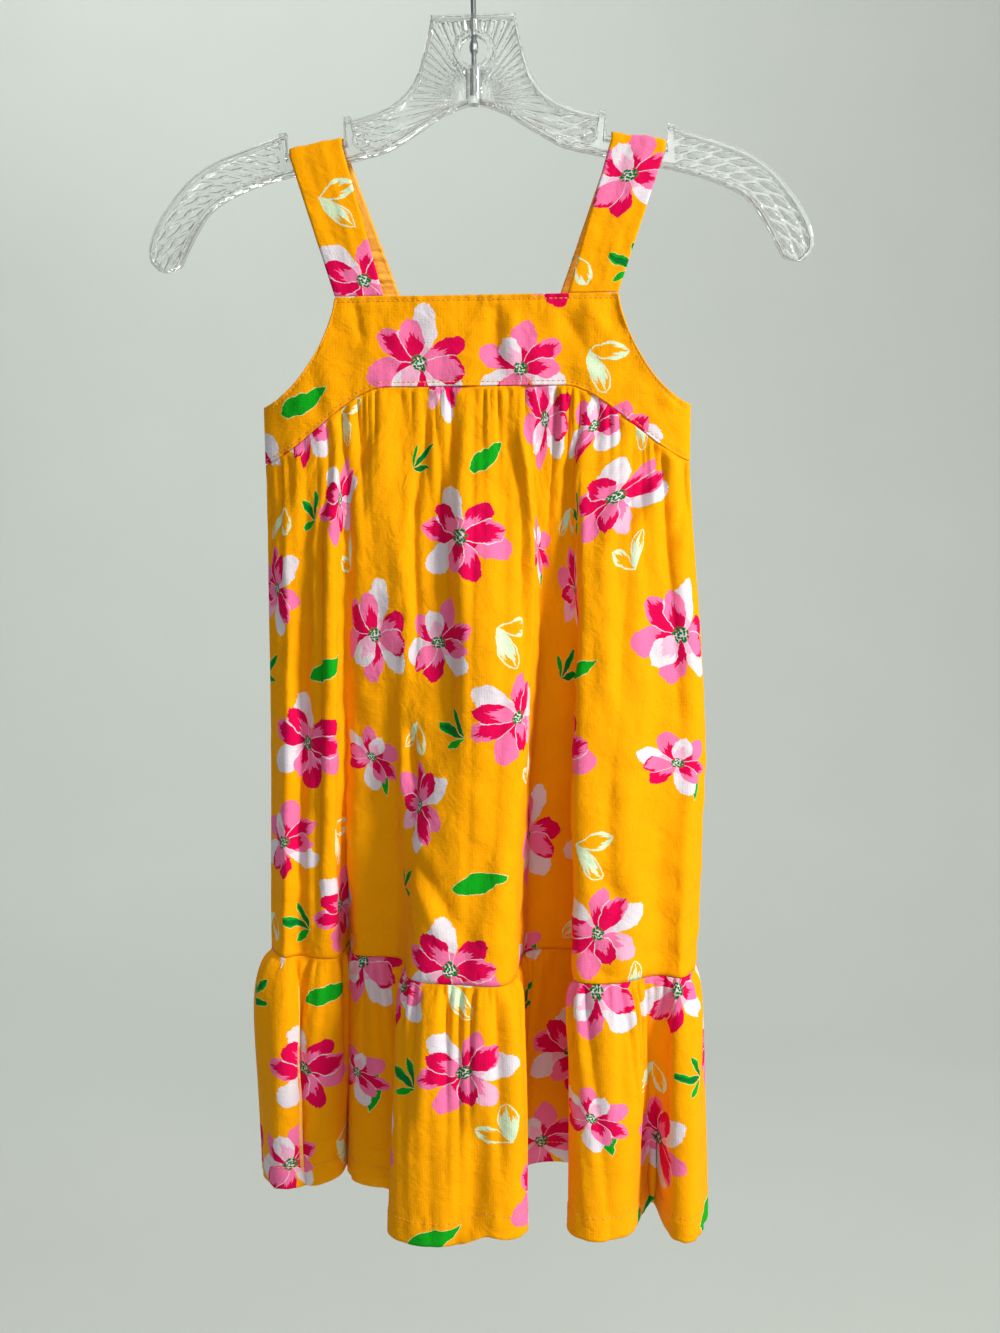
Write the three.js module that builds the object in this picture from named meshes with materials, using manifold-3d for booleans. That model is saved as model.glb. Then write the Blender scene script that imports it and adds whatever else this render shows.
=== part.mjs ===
// A small girl's sundress on a clear clothes hanger.
//
// The dress has a flat yoke in front and behind, two straps that pass over the hanger, a skirt
// that is gathered into the arched yoke seam, and a gathered ruffle below the skirt. Front and
// back meet at the side seams, so every level of the skirt is one closed ring of folds. The neck,
// armholes and hem are open. Units are millimetres, +Z is up, the dress faces -Y, and the origin
// is the inside of the top of the hook, where a rail or a nail carries the hanger.

import * as THREE from 'three';
import { mergeVertices } from 'three/addons/utils/BufferGeometryUtils.js';
import Module from 'manifold-3d';

// ---- driving dimensions: cloth -------------------------------------------------------------

const CLOTH = 1.2; // wall of the cloth pieces
const SEAM_GAP = 0.4; // between two pieces at a seam
const DRESS_X = 1; // the dress hangs this far to the right of the hook
const CHEST_HALF = 115.5; // half the width at the underarms, laid flat
const CHEST_X = -2; // below its straps the dress swings a little to the left
const CHEST_DEPTH = 12; // from the middle plane out to the front yoke
const NECK_Z = -203; // straight top edge of both yokes
const NECK_HALF = 75;
const UNDERARM_Z = -260;
const ARMHOLE_POWER = 1.38; // 1 gives each armhole a quarter ellipse, 2 a straight slant
const ARCH_Z = -250; // flat middle of the yoke seam
const ARCH_HALF = 48; // half the width of that flat middle
const ARCH_DROP = 40.5; // the seam falls this far on its way to the side seams
const RUFFLE_Z = -567.5; // seam between skirt and ruffle
const HEM_Z = -709;
const PUFF_LENGTH = 0.1; // share of the ruffle's height in which it swells out

// The folds, in order round the dress from the left side seam. across is the distance to the
// right of the middle and out is the distance behind it, so a ridge in front has a negative out.
// The ring starts on the flat outline of the yoke, so that level needs no out. puff is how far the
// ruffle swells out just below its seam, and lift is how far its hem hangs above the hem line.
const FOLD_COLUMNS = [
  'name', 'acrossYoke', 'acrossMiddle', 'acrossSeam', 'acrossHem', 'outMiddle', 'outSeam', 'outHem',
  'puff', 'lift',
];
const FRONT_FOLDS = [
  ['side seam, left', -117.5, -119, -123, -121, 2, 6, 8, 12, 5],
  ['rounded side', -107, -107, -113, -113, -12, -14, -10, 10, 4],
  ['narrow trough', -94, -98, -103, -106, -5, -10, -7, 7, 3],
  ['ridge beside it', -86, -88, -91, -96, -15, -15, -9, 5, 4],
  ['sharp left edge', -78, -79, -81, -86, -15, -11, -3, 2, 6],
  ['slit behind it', -71, -74, -79, -83, -7, 12, 24, 1, 7],
  ['second panel, edge', -64, -67, -71, -76, -13, -8, -5, 1, 4],
  ['second panel, end', -45, -45, -45, -42, -20, -12, -12, 3, 1],
  ['middle panel, left', -27, -27, -34, -42, -24, -44, -54, 4, 0],
  ['middle panel', -3, -3, -7, -9, -32, -50, -60, 4, 0],
  ['middle panel, right', 21, 25, 19, 24, -28, -46, -54, 4, 5],
  ['deep valley, left', 36, 33, 26, 20, -4, 6, 15, 2, 6],
  ['deep valley, right', 49, 55, 59, 60, -4, 5, 14, 2, 6],
  ['right panel, edge', 58, 56, 54, 56, -26, -38, -44, 4, 2],
  ['right panel', 75, 75, 76, 77, -30, -42, -46, 5, 1],
  ['right trough', 91, 98, 98, 98, -18, -28, -16, 3, 5],
  ['right corner', 104, 116, 113, 114, -16, -30, -46, 5, 0],
];
const BACK_FOLDS = [
  ['side seam, right', 113.5, 123, 120, 123, 0, -4, -11, 5, 2],
  ['rounded side', 103, 112, 109, 113, 11, 12, 9, 5, 3],
  ['right trough', 84, 86, 88, 91, 9, 9, 7, 3, 5],
  ['right ridge', 62, 64, 65, 67, 20, 28, 34, 5, 2],
  ['shallow dip', 39, 41, 41, 42, 17, 23, 31, 4, 4],
  ['middle ridge', 12, 12, 13, 13, 22, 31, 39, 5, 1],
  ['middle trough', -14, -14, -16, -18, 15, 16, 16, 3, 5],
  ['left ridge', -38, -38, -40, -42, 21, 29, 37, 5, 1],
  ['left dip', -61, -61, -62, -64, 17, 23, 31, 4, 3],
  ['broad left ridge', -86, -86, -88, -92, 20, 29, 38, 5, 2],
  ['rounded side', -108, -109, -110, -116, 12, 16, 21, 6, 4],
];
const STEPS_PER_FOLD = 3;
const SKIRT_LEVELS = 7;
const RUFFLE_LEVELS = [0, 0.06, 0.18, 0.45, 0.75, 1];
const YOKE_LEVELS = 4;

// ---- driving dimensions: straps ------------------------------------------------------------

const STRAP_FRONT = { inner: 49, outer: 75 }; // feet on the front yoke, from the middle
const STRAP_BACK = { inner: 43, outer: 67 }; // the elastic draws the back feet together
const STRAP_CREST = { inner: 71, outer: 99 }; // over the hanger's arm
const STRAP_LEVELS = 7;

// ---- driving dimensions: hanger ------------------------------------------------------------

const ARM_THICK = 8;
const WEB_THICK = 3; // the neck between its two rims
const NOTCH = { inner: 66, outer: 106, innerZ: -121.5, outerZ: -128.8 }; // seat of a strap
const RING = { z: -77.5, radius: 7.4 }; // round window in the neck
const BOSS = { topZ: -86.5, bottomZ: -105.5, radius: 4.3 };
const SLEEVE = { topZ: -59, bottomZ: -69, radius: 3.4 };
const WIRE_RADIUS = 1.4;
const BORE_RADIUS = 2;
const BORE_END_Z = -101;
const HOOK_RADIUS = 19; // inside of the crook
const NUB = { z: -75.5, width: 4.8, depth: 3.2, height: 9.5 }; // pinched end stop on the wire

// Upper edge of one arm from the neck out to its strap notch, and from the notch to the tip, then
// the lower edge back to the middle.
const NECK_EDGE = [[22, -60], [23, -66], [26, -78], [31, -92], [41, -102.5], [54, -108.3], [74, -112.6]];
const SHOULDER_EDGE = [[106, -119.3], [122, -124.6], [140, -131], [154, -140], [165, -152], [172.5, -163]];
const TIP_EDGE = [[177, -173], [177.7, -180.5], [172.5, -187], [165.5, -186.3]];
const LOWER_EDGE = [
  [158.5, -179], [153, -168.5], [145, -157.5], [132.5, -149], [114, -142], [90, -136.3], [66, -131.3],
  [50, -128], [33, -119.5], [17, -109.2], [0, -104.3],
];
const POCKET_EDGE = [
  [19, -63.5], [20.5, -67], [23.3, -79], [28.2, -94], [39, -105.3], [52, -111.2], [60, -113.2],
  [58, -126], [51, -124.8], [35, -116.8], [19, -106.6], [9, -102.5],
];

const COLOURS = { print: 0xffa608, plastic: 0xe6ebe8, steel: 0x9a9c9e };

// ---- how the forms are worked out ----------------------------------------------------------

const { lerp, clamp } = THREE.MathUtils;

// Flat outline of the yoke in plan: how far it stands out from the middle plane at a place across.
function yokeDepth(across) {
  const share = clamp(Math.abs(across - CHEST_X) / CHEST_HALF, 0, 1);
  return CHEST_DEPTH * Math.sqrt(1 - share ** 4);
}

// Height of the arched yoke seam: level in the middle, then an easy S down to the side seam.
function yokeSeamZ(across) {
  const share = clamp((Math.abs(across - CHEST_X / 2) - ARCH_HALF) / (CHEST_HALF - ARCH_HALF), 0, 1);
  const bow = share * share * (3 - 2 * share);
  return ARCH_Z - ARCH_DROP * lerp(share ** 1.4, bow, 0.6);
}

function catmullRom(before, from, to, after, share) {
  const square = share * share;
  const cube = square * share;
  const rise = (to - before) / 2;
  const fall = (after - from) / 2;
  return (
    (2 * cube - 3 * square + 1) * from + (cube - 2 * square + share) * rise
    + (3 * square - 2 * cube) * to + (cube - square) * fall
  );
}

// A value given at the yoke, the middle of the skirt, the ruffle seam and the hem, read at a
// level that is 0 at the yoke, 1 at the ruffle seam and 2 at the hem.
function atLevel(values, level) {
  const place = level < 1 ? 2 * level : 1 + level;
  const index = Math.min(Math.floor(place), 2);
  const pick = (i) => values[clamp(i, 0, 3)];
  return catmullRom(pick(index - 1), pick(index), pick(index + 1), pick(index + 2), place - index);
}

const side = (row, front) => {
  const fold = Object.fromEntries(FOLD_COLUMNS.map((column, i) => [column, row[i]]));
  const start = yokeDepth(fold.acrossYoke) * (front ? -1 : 1);
  return {
    across: [fold.acrossYoke, fold.acrossMiddle, fold.acrossSeam, fold.acrossHem],
    out: [start, fold.outMiddle, fold.outSeam, fold.outHem],
    puff: fold.puff,
    lift: fold.lift,
  };
};
const RING_FOLDS = [
  ...FRONT_FOLDS.map((row) => side(row, true)),
  ...BACK_FOLDS.map((row) => side(row, false)),
];
const SIDE_RIGHT = FRONT_FOLDS.length;
const SIDE_LEFT = RING_FOLDS.length;

// A value that each fold has, read smoothly at a place on the ring. place counts folds from the
// left side seam, 0 to SIDE_RIGHT in front and on to SIDE_LEFT behind.
function roundRing(place, read) {
  const count = RING_FOLDS.length;
  const index = Math.floor(place);
  const knots = [-1, 0, 1, 2].map((step) => read(RING_FOLDS[(index + step + 2 * count) % count]));
  return catmullRom(...knots, place - index);
}

function ringPoint(place, level) {
  const x = roundRing(place, (fold) => atLevel(fold.across, level));
  const y = roundRing(place, (fold) => atLevel(fold.out, level));
  return new THREE.Vector2(x, y);
}

// The ruffle stands out from the skirt along the ring's outward direction.
function rufflePoint(place, share) {
  const level = 1 + share;
  const point = ringPoint(place, level);
  const along = ringPoint(place + 0.05, level).sub(ringPoint(place - 0.05, level)).normalize();
  const swell = roundRing(place, (fold) => fold.puff) * (1 - Math.exp(-share / PUFF_LENGTH));
  point.add(new THREE.Vector2(along.y, -along.x).multiplyScalar(swell));
  const hem = HEM_Z + roundRing(place, (fold) => fold.lift);
  return new THREE.Vector3(point.x, point.y, lerp(RUFFLE_Z - SEAM_GAP, hem, share));
}

// A closed wall of the given thickness on a grid of middle points, rows[level][place]. The first
// and last place of each row lie past the wall's ends and only give those ends their direction.
function wall(rows, thickness) {
  const high = rows.length;
  const wide = rows[0].length - 2;
  const positions = [];
  const at = (r, c) => rows[clamp(r, 0, high - 1)][c + 1];
  for (const sign of [1, -1]) {
    for (let r = 0; r < high; r += 1) {
      for (let c = 0; c < wide; c += 1) {
        const across = at(r, c + 1).clone().sub(at(r, c - 1));
        const down = at(r + 1, c).clone().sub(at(r - 1, c));
        const normal = down.cross(across).normalize();
        positions.push(...at(r, c).clone().addScaledVector(normal, sign * thickness / 2));
      }
    }
  }
  const index = [];
  const quad = (a, b, c, d) => index.push(a, b, c, a, c, d);
  const outer = (r, c) => r * wide + c;
  const inner = (r, c) => high * wide + r * wide + c;
  for (let r = 0; r + 1 < high; r += 1) {
    for (let c = 0; c + 1 < wide; c += 1) {
      quad(outer(r, c), outer(r + 1, c), outer(r + 1, c + 1), outer(r, c + 1));
      quad(inner(r, c), inner(r, c + 1), inner(r + 1, c + 1), inner(r + 1, c));
    }
  }
  for (let c = 0; c + 1 < wide; c += 1) {
    quad(outer(0, c), outer(0, c + 1), inner(0, c + 1), inner(0, c));
    quad(outer(high - 1, c + 1), outer(high - 1, c), inner(high - 1, c), inner(high - 1, c + 1));
  }
  for (let r = 0; r + 1 < high; r += 1) {
    quad(outer(r + 1, 0), outer(r, 0), inner(r, 0), inner(r + 1, 0));
    quad(outer(r, wide - 1), outer(r + 1, wide - 1), inner(r + 1, wide - 1), inner(r, wide - 1));
  }
  const geometry = new THREE.BufferGeometry();
  geometry.setAttribute('position', new THREE.Float32BufferAttribute(positions, 3));
  geometry.setIndex(index);
  geometry.computeVertexNormals();
  return geometry;
}

// Places along one panel, kept half a seam gap away from both side seams, with one more place
// past each of them.
function panelPlaces(first, last) {
  const steps = (last - first) * STEPS_PER_FOLD;
  const step = 1 / STEPS_PER_FOLD;
  const trim = SEAM_GAP / 2 / 9; // the ring runs about 9 mm for each unit of place at a side seam
  const own = Array.from({ length: steps + 1 }, (_, i) => (
    clamp(first + i * step, first + trim, last - trim)
  ));
  return [first - step, ...own, last + step];
}
const FRONT_PLACES = panelPlaces(0, SIDE_RIGHT);
const BACK_PLACES = panelPlaces(SIDE_RIGHT, SIDE_LEFT);

// ---- pieces of the dress -------------------------------------------------------------------

// The skirt hangs from the yoke seam to the ruffle seam.
function skirt(places) {
  const rows = Array.from({ length: SKIRT_LEVELS + 1 }, (_, i) => {
    const level = i / SKIRT_LEVELS;
    return places.map((place) => {
      const point = ringPoint(place, level);
      const top = yokeSeamZ(ringPoint(place, 0).x) - SEAM_GAP;
      return new THREE.Vector3(point.x, point.y, lerp(top, RUFFLE_Z, level));
    });
  });
  return wall(rows, CLOTH);
}

// The ruffle is a second, fuller ring below the skirt, down to the turned hem.
function ruffle(places) {
  return wall(RUFFLE_LEVELS.map((share) => places.map((place) => rufflePoint(place, share))), CLOTH);
}

// Upper edge of a yoke above a place on its seam: straight across the neck, then down round each
// armhole on a flattened quarter ellipse.
function yokeTop(across) {
  const hand = Math.sign(across - CHEST_X);
  const share = Math.abs(across - CHEST_X) / CHEST_HALF;
  const neckShare = NECK_HALF / CHEST_HALF;
  if (share <= neckShare) {
    return new THREE.Vector2(hand * share * CHEST_HALF, NECK_Z);
  }
  const turn = (Math.PI / 2) * ((share - neckShare) / (1 - neckShare));
  const underarm = CHEST_X + hand * CHEST_HALF;
  const inward = Math.max(Math.cos(turn), 0) ** ARMHOLE_POWER;
  const fall = Math.sin(turn) ** ARMHOLE_POWER;
  return new THREE.Vector2(lerp(underarm, hand * NECK_HALF, inward), lerp(NECK_Z, UNDERARM_Z, fall));
}

// A yoke is a flat panel between that edge and the arched seam.
function yoke(places) {
  const rows = Array.from({ length: YOKE_LEVELS + 1 }, (_, i) => places.map((place) => {
    const foot = ringPoint(place, 0);
    const top = yokeTop(foot.x);
    const share = i / YOKE_LEVELS;
    const x = lerp(top.x, foot.x, share);
    const flat = Math.sign(foot.y) * Math.max(yokeDepth(x), SEAM_GAP / 2);
    return new THREE.Vector3(x, share === 1 ? foot.y : flat, lerp(top.y, yokeSeamZ(foot.x), share));
  }));
  return wall(rows, CLOTH);
}

function notchFloorZ(across) {
  const share = (Math.abs(across) - NOTCH.inner) / (NOTCH.outer - NOTCH.inner);
  return lerp(NOTCH.innerZ, NOTCH.outerZ, share);
}

// A strap runs from the front yoke up over the hanger's arm and down to the back yoke.
function strap(hand) {
  const foot = (edge, facing) => (share) => {
    const x = lerp(edge.inner, edge.outer, share);
    return new THREE.Vector3(hand * x, facing * yokeDepth(x), NECK_Z + SEAM_GAP);
  };
  const crest = (out, rise) => (share) => {
    const x = hand * lerp(STRAP_CREST.inner, STRAP_CREST.outer, share);
    return new THREE.Vector3(x, out, notchFloorZ(x + DRESS_X) + rise);
  };
  const over = ARM_THICK / 2 + 1.7;
  const stations = [crest(-over, -2), crest(-over + 1, 1.4), crest(-1.6, 2), crest(1.6, 2)];
  stations.push(crest(over - 1, 1.4), crest(over, -2));
  const run = (from, to) => Array.from({ length: STRAP_LEVELS - 1 }, (_, i) => (share) => (
    from(share).lerp(to(share), (i + 1) / STRAP_LEVELS)
  ));
  const front = foot(STRAP_FRONT, -1);
  const back = foot(STRAP_BACK, 1);
  const path = [front, ...run(front, stations[0]), ...stations, ...run(stations.at(-1), back), back];
  const shares = [-1 / 3, 0, 1 / 3, 2 / 3, 1, 4 / 3];
  // seen from in front, the rows run left to right, downwards from the back foot to the front foot
  const order = hand > 0 ? shares : [...shares].reverse();
  return wall([...path].reverse().map((station) => order.map(station)), CLOTH);
}

// ---- hanger --------------------------------------------------------------------------------

const wasm = await Module();
wasm.setup();

function toManifold(geometry) {
  const bare = geometry.clone();
  bare.deleteAttribute('normal');
  bare.deleteAttribute('uv');
  const merged = mergeVertices(bare, 1e-4);
  return new wasm.Manifold(new wasm.Mesh({
    numProp: 3,
    vertProperties: new Float32Array(merged.attributes.position.array),
    triVerts: new Uint32Array(merged.index.array),
  }));
}

function toGeometry(solid) {
  const mesh = solid.getMesh();
  const geometry = new THREE.BufferGeometry();
  geometry.setAttribute('position', new THREE.BufferAttribute(mesh.vertProperties.slice(), 3));
  geometry.setIndex(new THREE.BufferAttribute(mesh.triVerts.slice(), 1));
  geometry.computeVertexNormals();
  return geometry;
}

// A flat plate in the hanger's plane, as thick as given and centred on it.
function plate(shape, thickness, curveSegments = 6) {
  const geometry = new THREE.ExtrudeGeometry(shape, {
    depth: thickness, bevelEnabled: false, curveSegments, steps: 1,
  });
  geometry.translate(0, 0, -thickness / 2);
  geometry.rotateX(Math.PI / 2);
  return geometry;
}

function upright(radius, topZ, bottomZ, sides = 16) {
  const geometry = new THREE.CylinderGeometry(radius, radius, topZ - bottomZ, sides);
  geometry.rotateX(Math.PI / 2);
  geometry.translate(0, 0, (topZ + bottomZ) / 2);
  return geometry;
}

const points = (rows) => rows.map(([x, z]) => new THREE.Vector2(x, z));
const mirrored = (rows) => rows.map(([x, z]) => [-x, z]).reverse();
const smooth = (rows, count) => new THREE.SplineCurve(points(rows)).getPoints(count);

// One half of the outline, from the middle of the neck's top round to the middle of its foot.
function halfOutline() {
  const barb = [[74, -115.4], [NOTCH.inner, -114.2]];
  const seat = [[NOTCH.inner, NOTCH.innerZ], [NOTCH.outer, NOTCH.outerZ]];
  const edge = [
    ...smooth(NECK_EDGE, 18), ...points(barb), ...points(seat),
    ...smooth([...SHOULDER_EDGE, ...TIP_EDGE, ...LOWER_EDGE], 64),
  ];
  return edge.map((point) => [point.x, point.y]);
}

function hangerBody() {
  const half = halfOutline();
  const outline = [...half, ...mirrored(half.slice(0, -1))];
  const pocketHalf = smooth(POCKET_EDGE.slice(0, 7), 14).concat(smooth(POCKET_EDGE.slice(7), 10));
  const pocketRows = pocketHalf.map((point) => [point.x, point.y]);
  const pocket = [...pocketRows, ...mirrored(pocketRows)];
  let body = toManifold(plate(new THREE.Shape(points(outline)), ARM_THICK));
  const recess = (ARM_THICK - WEB_THICK) / 2;
  for (const face of [-1, 1]) {
    const cutter = plate(new THREE.Shape(points(pocket)), recess + 1);
    cutter.translate(0, face * (WEB_THICK / 2 + (recess + 1) / 2), 0);
    body = body.subtract(toManifold(cutter));
  }
  const windowShape = new THREE.Shape().absarc(0, RING.z, RING.radius, 0, 2 * Math.PI);
  body = body.subtract(toManifold(plate(windowShape, ARM_THICK + 2, 12)));
  for (const tube of [BOSS, SLEEVE]) {
    body = body.add(toManifold(upright(tube.radius, tube.topZ, tube.bottomZ)));
  }
  return toGeometry(body.subtract(toManifold(upright(BORE_RADIUS, 0, BORE_END_Z))));
}

// The hook is one bent wire: a stem that stands in the hanger's boss and a round crook.
class HookLine extends THREE.Curve {
  constructor() {
    super();
    const radius = HOOK_RADIUS + WIRE_RADIUS;
    const centre = new THREE.Vector2(0, -HOOK_RADIUS);
    const stem = [BORE_END_Z + 1, -90, -80, -70, -62, -56, -51].map((z) => [0, z]);
    const neck = [[2.6, -46.2], [7.6, -41]];
    const turns = 13;
    const crook = Array.from({ length: turns + 1 }, (_, i) => {
      const angle = lerp(-0.29 * Math.PI, 1.12 * Math.PI, i / turns);
      return [centre.x + radius * Math.cos(angle), centre.y + radius * Math.sin(angle)];
    });
    const rows = [...stem, ...neck, ...crook];
    this.line = new THREE.CatmullRomCurve3(rows.map(([x, z]) => new THREE.Vector3(x, 0, z)));
  }

  getPoint(share, target = new THREE.Vector3()) {
    return target.copy(this.line.getPoint(share));
  }
}

function hangerHook() {
  const line = new HookLine();
  const section = new THREE.Shape().absarc(0, 0, WIRE_RADIUS, 0, 2 * Math.PI);
  const wire = new THREE.ExtrudeGeometry(section, { extrudePath: line, steps: 56, curveSegments: 5 });
  const tip = new THREE.SphereGeometry(WIRE_RADIUS * 1.45, 12, 8);
  tip.translate(...line.getPoint(1));
  const nub = new THREE.SphereGeometry(0.5, 12, 8);
  nub.scale(NUB.width, NUB.depth, NUB.height);
  nub.translate(0, 0, NUB.z);
  return toGeometry(toManifold(wire).add(toManifold(tip)).add(toManifold(nub)));
}

// ---- the assembly --------------------------------------------------------------------------

const printedCotton = { color: COLOURS.print, roughness: 0.85, metalness: 0 };
const clearPlastic = { color: COLOURS.plastic, roughness: 0.12, metalness: 0 };
const brightSteel = { color: COLOURS.steel, roughness: 0.28, metalness: 1 };

function piece(name, geometry, finish) {
  const mesh = new THREE.Mesh(geometry, new THREE.MeshStandardMaterial(finish));
  mesh.name = name;
  return mesh;
}

const dress = new THREE.Group();
dress.position.x = DRESS_X;
dress.add(
  piece('front_yoke', yoke(FRONT_PLACES), printedCotton),
  piece('back_yoke', yoke(BACK_PLACES), printedCotton),
  piece('strap_left', strap(-1), printedCotton),
  piece('strap_right', strap(1), printedCotton),
  piece('skirt_front', skirt(FRONT_PLACES), printedCotton),
  piece('skirt_back', skirt(BACK_PLACES), printedCotton),
  piece('ruffle_front', ruffle(FRONT_PLACES), printedCotton),
  piece('ruffle_back', ruffle(BACK_PLACES), printedCotton),
);

const hanger = new THREE.Group();
hanger.add(
  piece('hanger_body', hangerBody(), clearPlastic),
  piece('hanger_hook', hangerHook(), brightSteel),
);

const sundress = new THREE.Group();
sundress.add(dress, hanger);

export default sundress;
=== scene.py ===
# A girl's sundress of printed cotton on a clear clothes hanger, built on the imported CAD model.
# Sizes are in millimetres, as a maker would give them, and turned to metres in each mesh. Only
# the camera and the lights are placed in metres.
import math

import bpy
import numpy as np
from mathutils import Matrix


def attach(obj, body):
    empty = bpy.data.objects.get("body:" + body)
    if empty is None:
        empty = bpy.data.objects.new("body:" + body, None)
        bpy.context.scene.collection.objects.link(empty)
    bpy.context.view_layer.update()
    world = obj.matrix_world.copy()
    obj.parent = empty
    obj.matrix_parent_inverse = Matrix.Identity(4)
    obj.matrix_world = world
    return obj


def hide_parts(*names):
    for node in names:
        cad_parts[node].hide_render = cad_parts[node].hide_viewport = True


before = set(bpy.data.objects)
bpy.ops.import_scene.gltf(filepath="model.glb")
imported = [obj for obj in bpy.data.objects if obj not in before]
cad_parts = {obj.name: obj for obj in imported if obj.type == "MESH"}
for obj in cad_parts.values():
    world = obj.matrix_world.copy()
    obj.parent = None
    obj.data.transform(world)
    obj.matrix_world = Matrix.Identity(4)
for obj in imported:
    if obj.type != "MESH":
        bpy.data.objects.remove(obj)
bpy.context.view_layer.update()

bpy.ops.object.select_all(action="DESELECT")


# ---- camera ---------------------------------------------------------------------------------
# It stands 0.76 m in front of the hanger, level with the middle of the skirt, a little to the
# right and tilted slightly down.

CAMERA_AZIMUTH = math.radians(5.0)
CAMERA_TILT = math.radians(7.85)
CAMERA_ROLL = math.radians(0.3)
CAMERA_DISTANCE = 0.764
CAMERA_SHIFT = 0.012
CAMERA_HEIGHT = -0.297
CLIP_NEAR = 0.02
CLIP_FAR = 50
LENS_MM = 37.54
SENSOR_MM = 36

bpy.ops.object.camera_add()
camera = bpy.context.object
level_forward = np.array([-math.sin(CAMERA_AZIMUTH), math.cos(CAMERA_AZIMUTH), 0.0])
level_right = np.array([math.cos(CAMERA_AZIMUTH), math.sin(CAMERA_AZIMUTH), 0.0])
upright = np.array([0.0, 0.0, 1.0])
forward = level_forward * math.cos(CAMERA_TILT) - upright * math.sin(CAMERA_TILT)
tilted_up = level_forward * math.sin(CAMERA_TILT) + upright * math.cos(CAMERA_TILT)
camera_right = level_right * math.cos(CAMERA_ROLL) - tilted_up * math.sin(CAMERA_ROLL)
camera_up = level_right * math.sin(CAMERA_ROLL) + tilted_up * math.cos(CAMERA_ROLL)
camera_place = level_right * CAMERA_SHIFT - level_forward * CAMERA_DISTANCE + upright * CAMERA_HEIGHT
camera_matrix = np.eye(4)
camera_matrix[:3] = np.column_stack([camera_right, camera_up, -forward, camera_place])
camera.matrix_world = camera_matrix.T.tolist()
camera.data.lens = LENS_MM
camera.data.sensor_width = SENSOR_MM
camera.data.clip_start = CLIP_NEAR
camera.data.clip_end = CLIP_FAR
bpy.context.scene.camera = camera


# ---- wire hook ------------------------------------------------------------------------------
# Bright nickel-plated steel wire, bent to a round crook, with a pinched stop that keeps it in
# the hanger's boss.

def linear(code):
    """An sRGB hex colour as the linear RGBA that a socket takes."""
    channels = [int(code[i:i + 2], 16) / 255 for i in (1, 3, 5)]
    return [c / 12.92 if c <= 0.04045 else ((c + 0.055) / 1.055) ** 2.4 for c in channels] + [1.0]


def add_node(tree, kind, inputs=None, **settings):
    """Adds a node with its settings, sets or links its inputs, and returns its outputs."""
    made = tree.nodes.new("ShaderNode" + kind)
    for name, value in settings.items():
        setattr(made, name, value)
    for key, value in (inputs or {}).items():
        if isinstance(value, bpy.types.NodeSocket):
            tree.links.new(value, made.inputs[key])
        else:
            made.inputs[key].default_value = value
    return made.outputs


def new_material(name):
    """An empty material, with its tree and its output node's surface socket."""
    made = bpy.data.materials.new(name)
    made.use_nodes = True
    made.node_tree.nodes.clear()
    out = made.node_tree.nodes.new("ShaderNodeOutputMaterial")
    return made, made.node_tree, out.inputs["Surface"]


# Nickel-plated wire: a bright mirror with fine lengthwise lines from the drawing die.
DRAWN_LINES_PER_M = (2500, 2500, 120)  # 0.4 mm across the wire and 8 mm along it
nickel_wire, tree, surface = new_material("nickel_plated_wire")
spot = add_node(tree, "TexCoord")["Object"]
stretched = add_node(tree, "Mapping", {"Vector": spot, "Scale": DRAWN_LINES_PER_M})[0]
drawn = add_node(tree, "TexNoise", {"Vector": stretched, "Scale": 1.0, "Detail": 3})[0]
rough = add_node(tree, "MapRange", {"Value": drawn, "To Min": 0.16, "To Max": 0.34})[0]
bump = add_node(tree, "Bump", {"Height": drawn, "Strength": 0.08, "Distance": 0.0002})[0]
shader = add_node(tree, "BsdfPrincipled", {
    "Base Color": linear("#B9BCBD"), "Metallic": 1.0, "Roughness": rough, "Normal": bump})[0]
tree.links.new(shader, surface)
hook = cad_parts["hanger_hook"]
hook.data.materials.clear()
hook.data.materials.append(nickel_wire)


# ---- clear hanger ---------------------------------------------------------------------------
# Injection-moulded clear polystyrene: a glassy body that shows itself by its bright rims. A web
# with a fan of ribs fills its neck, and its arms have cut facets and a notch for each strap.

# Clear polystyrene: glossy and nearly colourless, with the faint swirl that moulding leaves.
SWIRL_SIZE = 6.25
clear_polystyrene, tree, surface = new_material("clear_polystyrene")
spot = add_node(tree, "TexCoord")["Object"]
swirl = add_node(tree, "TexNoise", {"Vector": spot, "Scale": 1000 / SWIRL_SIZE, "Detail": 2})[0]
rough = add_node(tree, "MapRange", {"Value": swirl, "To Min": 0.02, "To Max": 0.09})[0]
bump = add_node(tree, "Bump", {"Height": swirl, "Strength": 0.1, "Distance": 0.0004})[0]
shader = add_node(tree, "BsdfPrincipled", {
    "Base Color": linear("#FCFEFD"), "Roughness": rough, "Normal": bump, "IOR": 1.59,
    "Transmission Weight": 0.88})[0]
tree.links.new(shader, surface)

# half thicknesses of the neck's web, the arms and the rims
WEB_HALF = 1.5
ARM_HALF = 2.3
RIM_HALF = 4.0
COLLAR_HALF = 3.2
# the rim along every edge: its width, how softly it rises, and how its outer corner is rounded
RIM_WIDE = 2.8
RIM_BLEND = 0.7
RIM_ROUND_DROP = 0.5
RIM_ROUND_WIDE = 0.6
# the round window in the neck, and the collar round it
WINDOW_Z = -77.5
WINDOW_RADIUS = 7.4
WINDOW_SNAP = 1.05
COLLAR_OFFSET = 1.2
COLLAR_REACH = 2.6
COLLAR_BLEND = 1.2
# radius, foot and top of the tubes that hold the hook's wire
BOSS = (4.3, -105.5, -86.5)
SLEEVE = (3.4, -69.0, -59.0)
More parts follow.
